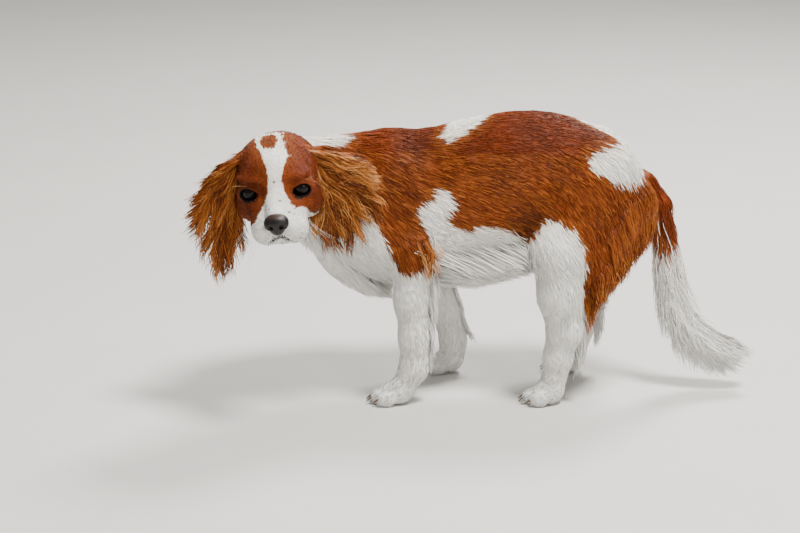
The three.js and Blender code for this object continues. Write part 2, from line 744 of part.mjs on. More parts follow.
function earLocks(name) {
  const field = (x, y, z) => earField(x, y, z, name);
  const row = ([roots, tips, count], depth, size) => {
    const onSheet = (line) => line.map(([x, z]) => [x, earSheet(x, name) + depth, z]);
    return fringe(field, onSheet(roots), onSheet(tips), count, size);
  };
  const { edge, face } = earRows[name];
  return [...row(edge, 0, earHair), ...row(face, -faceDepth, earHair), ...row(face, faceDepth, earHair)];
}

const tailOuter = [
  [[202, 0, 232], [218, 0, 195], [224, 0, 150], [228, -2, 112], [240, -4, 90], [262, -5, 66], [284, -6, 50]],
  [[228, 0, 200], [234, 0, 160], [240, -2, 122], [252, -3, 94], [274, -5, 76], [302, -6, 59], [325, -8, 46]],
];
const tailInner = [
  [[208, 0, 180], [212, -1, 138], [220, -2, 102], [236, -4, 76], [258, -5, 56], [282, -6, 43]],
  [[203, 0, 140], [207, -2, 92], [217, -3, 58], [240, -4, 28], [270, -5, 12], [304, -8, 18]],
];
const tailSide = [
  [[208, -8, 214], [218, -10, 165], [222, -12, 120], [238, -14, 82], [264, -14, 58]],
  [[218, -13, 160], [226, -14, 110], [242, -17, 72], [270, -18, 44], [302, -15, 30]],
];
const tailLocks = [
  ...fringe(tailField, ...tailOuter, 8, plume),
  ...fringe(tailField, ...tailInner, 8, plume),
  ...fringe(tailField, ...tailSide, 5, plume),
  ...fringe(tailField, flip(tailSide[0]), flip(tailSide[1]), 5, plume),
];

// Each piece is its core joined with its locks. Its stand-off copy is cut from the pieces placed after it
const pieces = new Map();
const standOff = new Map();

function place(name, make, locks, ...neighbours) {
  let made = make(0);
  for (const lock of locks) made = made.add(blade(lock, 0));
  for (const neighbour of neighbours) made = made.subtract(standOff.get(neighbour) ?? neighbour);
  pieces.set(name, largest(made));
  let stand = make(grown).add(pieces.get(name));
  for (const lock of locks) stand = stand.add(blade(lock, grown));
  standOff.set(name, stand);
}

const legSizes = {
  fore: [-140, 14, 12, 100],
  hind: [45, 215, 5, 108],
};

place("torso", makeTorso, torsoLocks);
place("neck", makeNeck, neckLocks, "torso");
for (const [name, sign] of [["left", -1], ["right", 1]]) {
  const eye = (grow) => eyeSphere(-sign, eyeRadius + (grow ? gap : 0));
  place("eye_" + name, eye, []);
  const fore = name + "_foreleg";
  const hind = name + "_hindleg";
  place(fore, (grow) => makeLeg(sign, foreCut, legSizes.fore, grow), legLocks[fore], "torso");
  place(hind, (grow) => makeLeg(sign, hindCut, legSizes.hind, grow), legLocks[hind], "torso");
}
place("nose", finishNose, []);
place("head", finishHead, [], "eye_left", "eye_right", "nose", "neck");
for (const name of ["left", "right"])
  place("ear_" + name, () => makeEar(name), earLocks(name), "head", "neck", "torso");
place("tail", makeTail, tailLocks, "torso", "left_hindleg", "right_hindleg");

// Looks of each piece: colour, roughness, metalness
const looks = {
  chestnut: ["#9c4a20", 0.62, 0],
  white: ["#e8e6e2", 0.66, 0],
  eye: ["#140c08", 0.12, 0],
  nose: ["#1c1614", 0.4, 0],
};
const lookOf = {
  torso: "chestnut",
  neck: "chestnut",
  head: "chestnut",
  nose: "nose",
  eye_left: "eye",
  eye_right: "eye",
  ear_left: "chestnut",
  ear_right: "chestnut",
  left_foreleg: "white",
  right_foreleg: "white",
  left_hindleg: "white",
  right_hindleg: "white",
  tail: "white",
};

const group = new THREE.Group();
const box = new THREE.Box3();
const geometries = new Map();
for (const [name, made] of pieces) {
  const geometry = geometryOf(made);
  geometry.computeBoundingBox();
  box.union(geometry.boundingBox);
  geometries.set(name, geometry);
}
const centre = box.getCenter(vec());
const shift = [-Math.round(centre.x * 100) / 100, -Math.round(centre.y * 100) / 100, 0];
for (const [name, geometry] of geometries) {
  const [color, roughness, metalness] = looks[lookOf[name]];
  const material = new THREE.MeshStandardMaterial({ color, roughness, metalness });
  const mesh = new THREE.Mesh(geometry.translate(...shift), material);
  mesh.name = name;
  group.add(mesh);
}

export default group;
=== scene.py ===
"""The looks of a cavalier king charles spaniel that stands side on and turns its head to the viewer.

The dog is a life-size model. One skin is meshed from the same rounded forms as the solids, a little
under their surface, and the coat lies over it as closed tapered tufts and locks.
"""
import math

import bpy
import numpy as np
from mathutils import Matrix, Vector


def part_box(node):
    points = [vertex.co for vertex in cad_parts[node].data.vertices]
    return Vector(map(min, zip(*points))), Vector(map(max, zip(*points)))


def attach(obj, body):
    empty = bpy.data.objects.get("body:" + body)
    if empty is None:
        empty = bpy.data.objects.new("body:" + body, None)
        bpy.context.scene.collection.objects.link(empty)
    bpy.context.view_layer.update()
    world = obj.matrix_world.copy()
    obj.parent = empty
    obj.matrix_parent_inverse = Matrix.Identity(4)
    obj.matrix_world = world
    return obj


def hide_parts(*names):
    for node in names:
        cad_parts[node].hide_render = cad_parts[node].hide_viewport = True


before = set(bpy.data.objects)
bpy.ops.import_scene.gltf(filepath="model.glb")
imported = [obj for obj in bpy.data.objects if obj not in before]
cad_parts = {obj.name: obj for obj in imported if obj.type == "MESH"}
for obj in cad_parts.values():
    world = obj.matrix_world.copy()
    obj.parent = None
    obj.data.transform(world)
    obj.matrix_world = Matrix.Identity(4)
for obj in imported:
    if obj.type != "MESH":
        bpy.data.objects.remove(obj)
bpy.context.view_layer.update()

# Sizes are millimetres in the maker's own frame: the middle line of the trunk is y = 0, the soles are
# at z = 0, the dog faces -x and its left side is -y. One function moves them into the shared frame.

MILLIMETRE = 0.001
chance = np.random.default_rng(2417)


def vec(*numbers):
    return np.array(numbers, dtype=float)


def unit(vectors):
    length = np.linalg.norm(vectors, axis=-1, keepdims=True)
    return vectors / np.maximum(length, 1e-9)


def mix(a, b, share):
    return a + (b - a) * share


def ramp(value, start, end):
    """Rises smoothly from 0 at start to 1 at end."""
    t = np.clip((value - start) / (end - start), 0, 1)
    return t * t * (3 - 2 * t)


def distance(points, place):
    """How far each point lies from one place."""
    return np.linalg.norm(points - place, axis=1)


def fold(points, axis):
    """Turns both sides of the middle plane into one."""
    folded = points.copy()
    folded[:, axis] = np.abs(folded[:, axis])
    return folded


# The head's own frame sits midway between the eyes: side (the dog's left), forward, up

HEAD_AT = vec(-213, -140, 262)
HEAD_PITCH, HEAD_ROLL, HEAD_YAW = 13, 6.3, -1.6
EYE_RADIUS = 11.5
EYE_CENTRE = vec(27, -8, 0)
EYE_TURN = math.radians(12)
NOSE_CENTRE = vec(0, 40.5, -18)


def turn_about(axis, degrees):
    c, s = math.cos(math.radians(degrees)), math.sin(math.radians(degrees))
    a, b = [(1, 2), (2, 0), (0, 1)][axis]
    matrix = np.eye(3)
    matrix[a, a] = matrix[b, b] = c
    matrix[a, b], matrix[b, a] = -s, s
    return matrix


FACING = np.diag([1.0, -1.0, 1.0])
HEAD_TURN = turn_about(2, HEAD_YAW) @ turn_about(0, HEAD_PITCH) @ turn_about(1, -HEAD_ROLL) @ FACING


def to_head(points):
    return (points - HEAD_AT) @ HEAD_TURN


def from_head(points):
    return HEAD_AT + points @ HEAD_TURN.T


def box_centre(node):
    low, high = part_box(node)
    return (np.array(low) + np.array(high)) / 2


FRAME_SHIFT = box_centre("eye_left") / MILLIMETRE - from_head(EYE_CENTRE)


def in_frame(points):
    """Maker's millimetres to metres in the shared frame."""
    return (np.asarray(points) + FRAME_SHIFT) * MILLIMETRE


# Fields: a signed distance in millimetres for each row of points, below zero inside


def blend_min(a, b, reach):
    """Both forms as one, rounded into each other where they meet. Reach is how wide the rounding is."""
    h = np.maximum(reach - np.abs(a - b), 0) / reach
    return np.minimum(a, b) - h * h * reach / 4


def blend_max(a, b, reach):
    """What both forms share, with the edge between them rounded."""
    return -blend_min(-a, -b, reach)


def ball(p, centre, radii):
    q = (p - centre) / radii
    near = np.sqrt((q * q).sum(1))
    slope = np.sqrt(((q / radii) ** 2).sum(1)) + 1e-9
    return near * (near - 1) / slope


def taper(p, start, end, radius_start, radius_end):
    """A round bar between two places, with a radius at each."""
    start, end = np.array(start, float), np.array(end, float)
    axis = end - start
    t = np.clip((p - start) @ axis / (axis @ axis), 0, 1)
    away = p - start - t[:, None] * axis
    return np.sqrt((away * away).sum(1)) - (radius_start + (radius_end - radius_start) * t)


def limb(p, joints, reach):
    """Round bars from joint to joint. Each joint is x, y, z and a radius."""
    d = None
    for a, b in zip(joints, joints[1:]):
        bone = taper(p, a[:3], b[:3], a[3], b[3])
        d = bone if d is None else blend_min(d, bone, reach)
    return d


# The trunk from chest to rump: x, height of the back, height of the underline, half width
TRUNK_STATIONS = np.array([
    [-172, 250, 172, 34], [-150, 274, 146, 50], [-120, 292, 126, 60], [-90, 301, 118, 66],
    [-50, 305, 121, 71], [0, 316, 136, 75], [45, 323, 151, 74], [85, 322, 164, 69],
    [120, 312, 174, 63], [150, 295, 178, 56], [178, 270, 184, 44], [200, 244, 198, 28],
], dtype=float)

# Each joint of a leg is x, distance from the middle line, z, radius. The left legs are nearest the viewer
FORE_LEGS = {
    "left": [
        [-66, 55, 172, 27], [-69, 57, 121, 22], [-66, 58, 80, 18.5], [-66, 58, 43, 16.5], [-77, 58, 21, 15],
    ],
    "right": [
        [-58, 54, 172, 26], [-42, 56, 115, 20], [-29, 57, 75, 17.5], [-20, 58, 40, 16], [-20, 58, 21, 15],
    ],
}
HIND_LEGS = {
    "left": [
        [98, 56, 172, 36], [96, 60, 126, 28], [101, 58, 86, 21], [94, 58, 54, 16.5], [89, 58, 24, 15],
    ],
    "right": [
        [112, 56, 172, 36], [116, 60, 126, 28], [134, 58, 86, 19], [128, 58, 54, 15.5], [122, 58, 24, 15],
    ],
}
# The x of each paw's middle, and how far each paw stands from the middle line
FORE_PAWS = {"left": -88, "right": -29}
HIND_PAWS = {"left": 82, "right": 114}
FOOT_SPREAD = 58
NECK_JOINTS = [[-112, 0, 238, 55], [-158, -10, 242, 50], [-198, -38, 252, 43], [-212, -72, 258, 38]]
TAIL_JOINTS = [
    [188, 0, 240, 16], [208, 1, 214, 14], [217, 0, 170, 11], [221, -2, 125, 10],
    [232, -4, 88, 10], [256, -5, 62, 9], [282, -6, 48, 7],
]


def read_stations(stations, x):
    """Reads a table at x by a smooth cubic through its rows."""
    at = stations[:, 0]
    slopes = np.gradient(stations[:, 1:], at, axis=0)
    x = np.clip(x, at[0], at[-1])
    i = np.clip(np.searchsorted(at, x) - 1, 0, len(at) - 2)
    span = (at[i + 1] - at[i])[:, None]
    t = ((x - at[i]) / span[:, 0])[:, None]
    low, high = stations[i, 1:], stations[i + 1, 1:]
    t2, t3 = t * t, t * t * t
    held = (2 * t3 - 3 * t2 + 1) * low + (3 * t2 - 2 * t3) * high
    return held + span * ((t3 - 2 * t2 + t) * slopes[i] + (t3 - t2) * slopes[i + 1])


def trunk(p):
    top, bottom, half = read_stations(TRUNK_STATIONS, p[:, 0]).T
    tall = (top - bottom) / 2
    round_part = np.hypot(p[:, 1] / half, (p[:, 2] - (top + bottom) / 2) / tall) - 1
    ends = np.maximum(TRUNK_STATIONS[0, 0] - p[:, 0], p[:, 0] - TRUNK_STATIONS[-1, 0])
    return blend_max(round_part * np.minimum(half, tall), ends, 24)


TOE_SPREAD = 9.2
TOE_HEIGHT = 8.5
TOE_RADII = vec(12, 6.2, 10)
TOE_REACHES = (9, 16, 16, 9)  # how far each toe lies before the middle of its paw
PAW_HEIGHT = 12
PAW_RADII = vec(19, 16, 14)


def toe_centres(paw_x):
    return [
        vec(paw_x - reach, FOOT_SPREAD + (toe - 1.5) * TOE_SPREAD, TOE_HEIGHT)
        for toe, reach in enumerate(TOE_REACHES)
    ]


def paw(p, paw_x):
    d = ball(p, vec(paw_x, FOOT_SPREAD, PAW_HEIGHT), PAW_RADII)
    for centre in toe_centres(paw_x):
        d = blend_min(d, ball(p, centre, TOE_RADII), 2.0)
    return d


def leg(p, joints, paw_x, reach):
    return blend_min(limb(p, joints, reach), paw(p, paw_x), 9)


def either_side(p, left, legs, paws, reach):
    """The legs of one pair, for points folded to one side. Left says which points were on the left."""
    d = np.empty(len(p))
    for side, chosen in (("left", left), ("right", ~left)):
        if chosen.any():
            d[chosen] = leg(p[chosen], legs[side], paws[side], reach)
    return d


# The forms of muscle on each side of the trunk: start, end, radius at each, and how widely they blend in
MUSCLES = [
    ((-92, 28, 256), (-122, 42, 198), 34, 33, 20),  # shoulder blade
    ((-122, 44, 198), (-70, 52, 172), 31, 27, 16),  # upper foreleg
    ((136, 30, 256), (100, 48, 176), 44, 36, 20),  # front of the thigh
    ((172, 30, 222), (138, 50, 150), 30, 20, 16),  # back of the thigh
]
BREAST_CENTRE, BREAST_RADII = vec(-142, -4, 186), vec(36, 44, 54)


def body(p):
    """The dog without its head, ears and tail."""
    left = p[:, 1] < 0
    out = fold(p, 1)
    d = trunk(p)
    d = blend_min(d, ball(p, BREAST_CENTRE, BREAST_RADII), 24)
    d = blend_min(d, limb(p, NECK_JOINTS, 20), 26)
    for start, end, radius_start, radius_end, reach in MUSCLES:
        d = blend_min(d, taper(out, start, end, radius_start, radius_end), reach)
    d = blend_min(d, either_side(out, left, FORE_LEGS, FORE_PAWS, 8), 12)
    return blend_min(d, either_side(out, left, HIND_LEGS, HIND_PAWS, 9), 14)


MUZZLE_TURN = 2.0  # how far the end of the muzzle is turned to the dog's left
MUZZLE_ROOT, MUZZLE_END = -4, 34  # how far forward the turn begins and ends


def muzzle_shift(forward):
    return MUZZLE_TURN * ramp(forward, MUZZLE_ROOT, MUZZLE_END)


def straighten(q):
    """Undoes the slight turn of the muzzle, so that both its sides can be described alike."""
    q = q.copy()
    q[:, 0] -= muzzle_shift(q[:, 1])
    return q


def bend_muzzle(q):
    q = np.array(q, float)
    q[:, 0] += muzzle_shift(q[:, 1])
    return q


def head_form(q):
    """The skull, muzzle and cheeks, in the head's frame."""
    out = fold(straighten(q), 0)
    d = ball(out, vec(0, -45, 8), vec(46, 50, 37))  # skull
    d = blend_min(d, ball(out, vec(0, -15, 11), vec(33, 20, 24)), 10)  # forehead
    d = blend_min(d, ball(out, EYE_CENTRE, vec(15, 13.4, 14)), 7)  # lids
    d = blend_min(d, ball(out, vec(24, -7, 16), vec(15, 12, 6)), 7)  # brow
    d = blend_min(d, ball(out, vec(29, -24, -20), vec(18, 25, 22)), 14)  # cheek
    d = blend_min(d, taper(out, (0, 0, -4), (0, 30, -13), 13, 11), 9)  # bridge of the nose
    d = blend_min(d, ball(out, vec(19, 1, -17), vec(13, 16, 12)), 12)  # under the eye
    d = blend_min(d, ball(out, vec(13.5, 19, -29), vec(17, 20, 16)), 9)  # upper lip
    d = blend_min(d, ball(out, vec(15, 13, -38), vec(15.5, 19, 15.5)), 7)  # hanging lip
    d = blend_min(d, ball(out, vec(0, 16, -41), vec(16, 18, 9)), 5)  # chin
    return blend_min(d, taper(out, (0, 6, -34), (0, -52, -34), 15, 27), 12)  # lower jaw


HEAD_REACH = 150  # further away than this the head counts as a ball
HEAD_BALL_CENTRE, HEAD_BALL_RADIUS = from_head(vec(0, -20, 0)), 60


def head(p):
    away = distance(p, HEAD_BALL_CENTRE)
    d = away - HEAD_BALL_RADIUS
    near = away < HEAD_REACH
    d[near] = head_form(to_head(p[near]))
    return d


def form(p):
    """The outline of the short coat, as the solids have it."""
    return blend_min(body(p), head(p), 16)


# The leather of each ear hangs in a flat sheet: x, z, half width
EAR_DROPS = {
    "left": [[-184, 296, 11], [-162, 287, 17], [-147, 262, 23], [-144, 240, 17]],
    "right": [[-250, 286, 11], [-264, 272, 15], [-273, 248, 17], [-272, 228, 13]],
}
EAR_DEPTH = -108
EAR_BEND = {"left": 0.27, "right": -0.12}
EAR_THICKNESS = 4.5
# How far the skin of each lies inside the solids
EAR_SKIN_DEPTH, TAIL_SKIN_DEPTH = 2, 1.5


def ear_sheet(x, side):
    """The y at which an ear hangs, for each x."""
    return EAR_DEPTH + EAR_BEND[side] * (x - EAR_DROPS[side][0][0])


def ear(p, side):
    drop = [[x, 0, z, r - EAR_SKIN_DEPTH] for x, z, r in EAR_DROPS[side]]
    flat = p * vec(1, 0, 1)
    sheet = limb(flat, drop, 8)
    return blend_max(sheet, np.abs(p[:, 1] - ear_sheet(p[:, 0], side)) - EAR_THICKNESS, 6)


def on_an_ear(p, reach):
    """Whether each point lies within this reach of the leather of an ear."""
    return np.minimum(ear(p, "left"), ear(p, "right")) < reach


def tail(p):
    return limb(p, TAIL_JOINTS, 8) + TAIL_SKIN_DEPTH


# The eye's own axes: out along the face, up, and the way it looks


def eye_axes(sign):
    look = vec(sign * math.sin(EYE_TURN), math.cos(EYE_TURN), 0)
    out = vec(sign * math.cos(EYE_TURN), -math.sin(EYE_TURN), 0)
    return np.array([out, vec(0, 0, 1), look])


def eye_place(sign):
    return EYE_CENTRE * vec(sign, 1, 1)


def in_eye(q, sign):
    """Points of the head's frame along the eye's own axes."""
    return (q - eye_place(sign)) @ eye_axes(sign).T


def from_eye(local, sign):
    """The way back, to the maker's own frame."""
    return from_head(eye_place(sign) + local @ eye_axes(sign))


LID_WIDTH, LID_HEIGHT = 8.7, 7.3
LID_CORNER = 2.6  # how far the inner corner of the lids is drawn towards the nose
LID_DROP = 1.1  # how far that corner lies lower than the outer one
LID_REACH = 13.0  # how far the lids lie from the middle of the eye
LID_ROLL = 3.0  # how wide their thick edge is


def lid_shape(a, b):
    """Distance from the edge of the opening between the lids, on the face of the eye."""
    inner = np.clip(-a / LID_WIDTH, 0, 1)
    wide = LID_WIDTH + LID_CORNER * inner ** 2
    drop = LID_DROP * inner ** 2
    return (np.hypot(a / wide, (b + drop) / LID_HEIGHT) - 1) * LID_HEIGHT


def lids(q, d):
    """Opens the lids over each eye and thickens their edge."""
    for sign in (-1, 1):
        local = in_eye(q, sign)
        near = (np.abs(local) < 22).all(1) & (local[:, 2] > -2)
        a, b, c = local[near].T
        edge = lid_shape(a, b)
        cover = np.linalg.norm(local[near], axis=1) - LID_REACH
        rim = blend_min(d[near], np.maximum(cover, np.abs(edge) - LID_ROLL), 3)
        opened = blend_max(rim, -(edge + 0.3), 0.9)
        d[near] = np.where(c > 3, opened, d[near])
    return d


# One side of the mouth line and the groove under the nose, in the head's frame
MOUTH_SIDE = [[0, 44, -37], [8, 37, -43], [17, 27, -49], [27, 10, -48]]
PHILTRUM = [[0, 50, -28], [0, 46, -33], [0, 44, -37]]


def slope(field, points):
    """The direction in which a field rises fastest: straight out of the surface."""
    steps = np.eye(3) * 0.4
    return unit(np.stack([field(points + step) - field(points - step) for step in steps], axis=1))


def settle(field, points, rise):
    """Moves points until they lie this far outside a field's surface."""
    points = np.array(points, float)
    for _ in range(3):
        points = points + slope(field, points) * (rise - field(points))[:, None]
    return points


def along(line, t):
    """Points at shares t of a smooth curve through the points of a line."""
    line = np.asarray(line, float)
    t = np.clip(np.asarray(t, float), 0, 1) * (len(line) - 1)
    i = np.minimum(t.astype(int), len(line) - 2)
    f = (t - i)[..., None]
    before = line[np.maximum(i - 1, 0)]
    after = line[np.minimum(i + 2, len(line) - 1)]
    a, b = line[i], line[i + 1]
    first = np.where((i == 0)[..., None], b - a, (b - before) / 2)
    last = np.where((i == len(line) - 2)[..., None], b - a, (after - a) / 2)
    f2, f3 = f * f, f * f * f
    return (2 * f3 - 3 * f2 + 1) * a + (f3 - 2 * f2 + f) * first + (3 * f2 - 2 * f3) * b + (f3 - f2) * last


def lip_line(points, sign, count=9):
    line = along(vec(sign, 1, 1) * np.array(points, float), np.linspace(0, 1, count))
    return straighten(settle(head_form, bend_muzzle(line), -0.6))


LIP_LINES = [lip_line(MOUTH_SIDE, -1), lip_line(MOUTH_SIDE, 1), lip_line(PHILTRUM, 1, 4)]


LIP_GROOVE = 1.1


def line_distance(straight, line):
    d = np.full(len(straight), 1e6)
    for a, b in zip(line, line[1:]):
        d = np.minimum(d, taper(straight, a, b, 0, 0))
    return d


def lip_distance(straight):
    """Distance to the nearest line of the mouth, for points of the straightened head."""
    return np.min([line_distance(straight, line) for line in LIP_LINES], axis=0)


def mouth(q, d):
    """Cuts the line of the mouth as a shallow groove."""
    near = (q[:, 1] > -5) & (q[:, 2] < -18) & (np.abs(d) < 8)
    straight = straighten(q[near])
    for line in LIP_LINES:
        d[near] = blend_max(d[near], LIP_GROOVE - line_distance(straight, line), 1.6)
    return d


FACE_COAT, PAW_COAT, BODY_COAT = 0.9, 1.5, 3.0  # how deep the short coat is


def coat_depth(p):
    """How far the skin lies under the tips of the short coat."""
    depth = mix(PAW_COAT, BODY_COAT, ramp(p[:, 2], 60, 110))
    away = distance(p, from_head(vec(0, 0, -8)))
    return mix(FACE_COAT, depth, ramp(away, 52, 95))


def skin(p):
    d = form(p) + coat_depth(p)
    near = distance(p, HEAD_AT) < 75
    if near.any():
        q = to_head(p[near])
        d[near] = mouth(q, lids(q, d[near]))
    for side in ("left", "right"):
        d = blend_min(d, ear(p, side), 5)
    d = blend_min(d, tail(p), 8)
    return np.maximum(d, -p[:, 2])


# Meshing: one vertex in each grid cell that the surface crosses, joined across each crossed edge


BATCH = 200000  # points in one call of a field
FAR_AWAY = 50.0  # the value given to samples far from the surface


def axis_samples(*spans):
    """Grid positions from spans of low, high and step."""
    parts = [
        np.linspace(low, high, round((high - low) / step), endpoint=False)
        for low, high, step in spans
    ]
    return np.concatenate(parts + [[spans[-1][1]]])


def sample(field, axes, stride=5):
    """The field on a grid. Blocks of samples far from the surface only get its sign."""
    blocks = [np.arange(len(axis)) // stride for axis in axes]
    low = [axis[::stride] for axis in axes]
    high = [np.append(axis[stride - 1::stride], axis[-1])[:len(start)] for axis, start in zip(axes, low)]
    middle, reach = [
        np.stack(np.meshgrid(*spans, indexing="ij"), axis=-1)
        for spans in zip(*[((a + b) / 2, (b - a) / 2) for a, b in zip(low, high)])
    ]
    coarse = field(middle.reshape(-1, 3)).reshape(middle.shape[:3])
    near = np.abs(coarse) < np.linalg.norm(reach, axis=-1) * 1.5 + 4
    spread = np.ix_(*blocks)
    value = np.sign(coarse)[spread] * FAR_AWAY
    i, j, k = np.nonzero(near[spread])
    points = np.stack([axes[0][i], axes[1][j], axes[2][k]], axis=1)
    found = [field(points[n:n + BATCH]) for n in range(0, len(points), BATCH)]
    value[i, j, k] = np.concatenate(found)
    return value


def crossing_points(value, axes, cells):
    """A point in each cell, midway between the places where the surface crosses the cell's edges."""
    total, crossings = np.zeros((len(cells[0]), 3)), np.zeros(len(cells[0]))
    for axis in range(3):
        others = [n for n in range(3) if n != axis]
        for b, c in ((0, 0), (0, 1), (1, 0), (1, 1)):
            start = [part.copy() for part in cells]
            start[others[0]] += b
            start[others[1]] += c
            end = list(start)
            end[axis] = start[axis] + 1
            v0, v1 = value[tuple(start)], value[tuple(end)]
            crossed = (v0 < 0) != (v1 < 0)
            t = np.where(crossed, v0 / np.where(crossed, v0 - v1, 1), 0)
            at = np.stack([axes[n][start[n]] for n in range(3)], axis=1)
            at[:, axis] += (axes[axis][end[axis]] - axes[axis][start[axis]]) * t
            total += at * crossed[:, None]
            crossings += crossed
    return total / crossings[:, None]


def joining_faces(inside, axes, number):
    """A four-sided face across each grid edge that leaves or enters the form."""
    faces = []
    for axis in range(3):
        u, v = (axis + 1) % 3, (axis + 2) % 3
        first = np.take(inside, range(inside.shape[axis] - 1), axis)
        second = np.take(inside, range(1, inside.shape[axis]), axis)
        edge = list(np.nonzero(first != second))
        whole = (edge[u] > 0) & (edge[u] < len(axes[u]) - 1)
        whole &= (edge[v] > 0) & (edge[v] < len(axes[v]) - 1)
        edge = [part[whole] for part in edge]
        ring = []
        for du, dv in ((-1, -1), (0, -1), (0, 0), (-1, 0)):
            cell = list(edge)
            cell[u] = edge[u] + du
            cell[v] = edge[v] + dv
            ring.append(number[tuple(cell)])
        ring = np.stack(ring, axis=1)
        leaves = first[tuple(edge)]
        faces.append(np.where(leaves[:, None], ring, ring[:, ::-1]))
    return np.concatenate(faces)


def net(field, axes):
    """The points and faces of the surface where a field is zero."""
    value = sample(field, axes)
    inside = value < 0
    count = sum(
        inside[a:a - 1 or None, b:b - 1 or None, c:c - 1 or None].astype(np.int8)
        for a in (0, 1) for b in (0, 1) for c in (0, 1)
    )
    cells = np.nonzero((count > 0) & (count < 8))
    number = np.full(count.shape, -1)
    number[cells] = np.arange(len(cells[0]))
    return crossing_points(value, axes, cells), joining_faces(inside, axes, number)


# Blender objects and materials


def linear(colour):
    """An sRGB hex colour as linear red, green and blue."""
    parts = [int(colour[n:n + 2], 16) / 255 for n in (1, 3, 5)]
    return np.array([c / 12.92 if c <= 0.04045 else ((c + 0.055) / 1.055) ** 2.4 for c in parts])


def add_node(tree, kind, settings=None, links=None):
    """Adds a node, sets its properties and inputs, and links inputs to other nodes' outputs."""
    node = tree.nodes.new(kind)
    for name, value in (settings or {}).items():
        if name in node.inputs:
            node.inputs[name].default_value = value
        else:
            setattr(node, name, value)
    for name, (source, output) in (links or {}).items():
        tree.links.new(source.outputs[output], node.inputs[name])
    return node


def new_material(name):
    material = bpy.data.materials.new(name)
    material.use_nodes = True
    material.node_tree.nodes.clear()
    return material, material.node_tree


def finish_material(tree, finish, links):
    """The surface itself: one principled shader with this finish."""
    shader = add_node(tree, "ShaderNodeBsdfPrincipled", finish, links)
    add_node(tree, "ShaderNodeOutputMaterial", links={"Surface": (shader, "BSDF")})


def make_mesh(name, points, faces, material):
    """A mesh object from points in maker's millimetres and faces of one size."""
    mesh = bpy.data.meshes.new(name)
    size = faces.shape[1]
    mesh.vertices.add(len(points))
    mesh.vertices.foreach_set("co", in_frame(points).astype(np.float32).ravel())
    mesh.loops.add(faces.size)
    mesh.loops.foreach_set("vertex_index", faces.astype(np.int32).ravel())
    mesh.polygons.add(len(faces))
    mesh.polygons.foreach_set("loop_start", np.arange(0, faces.size, size, dtype=np.int32))
    mesh.polygons.foreach_set("use_smooth", np.ones(len(faces), bool))
    mesh.update(calc_edges=True)
    mesh.materials.append(material)
    made = bpy.data.objects.new(name, mesh)
    bpy.context.scene.collection.objects.link(made)
    return made


TINT = "tint"


def paint(made, colours):
    """Gives each vertex its own linear colour."""
    layer = made.data.color_attributes.new(TINT, "FLOAT_COLOR", "POINT")
    full = np.ones((len(colours), 4), np.float32)
    full[:, :3] = colours
    layer.data.foreach_set("color", full.ravel())


# Materials


def painted(name, finish, texture=None, grain=None, output=None, bump=None):
    """A material coloured by what is painted on its mesh, with relief from a texture if it has one."""
    material, tree = new_material(name)
    links = {"Base Color": (add_node(tree, "ShaderNodeVertexColor", {"layer_name": TINT}), "Color")}
    if texture:
        place = add_node(tree, "ShaderNodeTexCoord")
        pattern = add_node(tree, texture, grain, {"Vector": (place, "Object")})
        links["Normal"] = (add_node(tree, "ShaderNodeBump", bump, {"Height": (pattern, output)}), "Normal")
    finish_material(tree, finish, links)
    return material


def mottled(name, low, high, grain, finish):
    """A material that drifts between two close colours, as small uneven patches."""
    material, tree = new_material(name)
    place = add_node(tree, "ShaderNodeTexCoord")
    pattern = add_node(tree, "ShaderNodeTexNoise", grain, {"Vector": (place, "Object")})
    tone = add_node(tree, "ShaderNodeValToRGB", links={"Fac": (pattern, "Fac")})
    tone.color_ramp.elements[0].color = (*low, 1)
    tone.color_ramp.elements[1].color = (*high, 1)
    finish_material(tree, finish, {"Base Color": (tone, "Color")})
    return material


def fur(name, roughness, sheen, bump):
    """Hair: satin along the fibre, with a soft sheen where it turns away from the light."""
    finish = {"Roughness": roughness, "IOR": 1.55, "Specular IOR Level": 0.13, "Sheen Weight": sheen,
              "Sheen Roughness": 0.5}
    return painted(name, finish, "ShaderNodeTexNoise", {"Scale": 900.0, "Detail": 2.0}, "Fac",
                   {"Strength": bump, "Distance": 0.0004})


def nose_skin():
    """The bare nose: black pebbled skin, damp, so that small highlights sit on its grain."""
    finish = {"Roughness": 0.42, "IOR": 1.45, "Specular IOR Level": 0.35, "Coat Weight": 0.12,
              "Coat Roughness": 0.25}
    return painted("nose_skin", finish, "ShaderNodeTexVoronoi", {"Scale": 1100.0}, "Distance",
                   {"Strength": 0.5, "Distance": 0.0003})


def eye_glass():
    """A blown glass eye with a painted iris: dark and wet, with one sharp highlight."""
    return painted("eye_glass", {"Roughness": 0.04, "IOR": 1.38, "Specular IOR Level": 0.28})


def small_hard_part(name, colour, ior, coat):
    """Lids and claws: one even, slightly mottled tone that shines a little."""
    base = linear(colour)
    finish = {"Roughness": 0.35, "IOR": ior, "Coat Weight": coat, "Coat Roughness": 0.15}
    return mottled(name, base * 0.7, np.minimum(base * 1.25, 1), {"Scale": 300.0, "Detail": 3.0}, finish)


coat_material = fur("silky_hair", 0.44, 0.01, 0.15)  # each lock shines softly along its length
skin_material = fur("hide_with_short_fur", 0.7, 0.02, 0.5)  # duller, so that no parting glints
eye_material = eye_glass()
nose_material = nose_skin()
lid_material = small_hard_part("lid_skin", "#0d0807", 1.4, 0.2)
claw_material = small_hard_part("claw_horn", "#5a4a40", 1.54, 0.0)

# Markings: rich chestnut on white. A value above zero is white, below zero chestnut, in millimetres

ALL_WHITE, ALL_CHESTNUT = 14.0, -9.0  # the value of a lock that has no edge of a marking near it


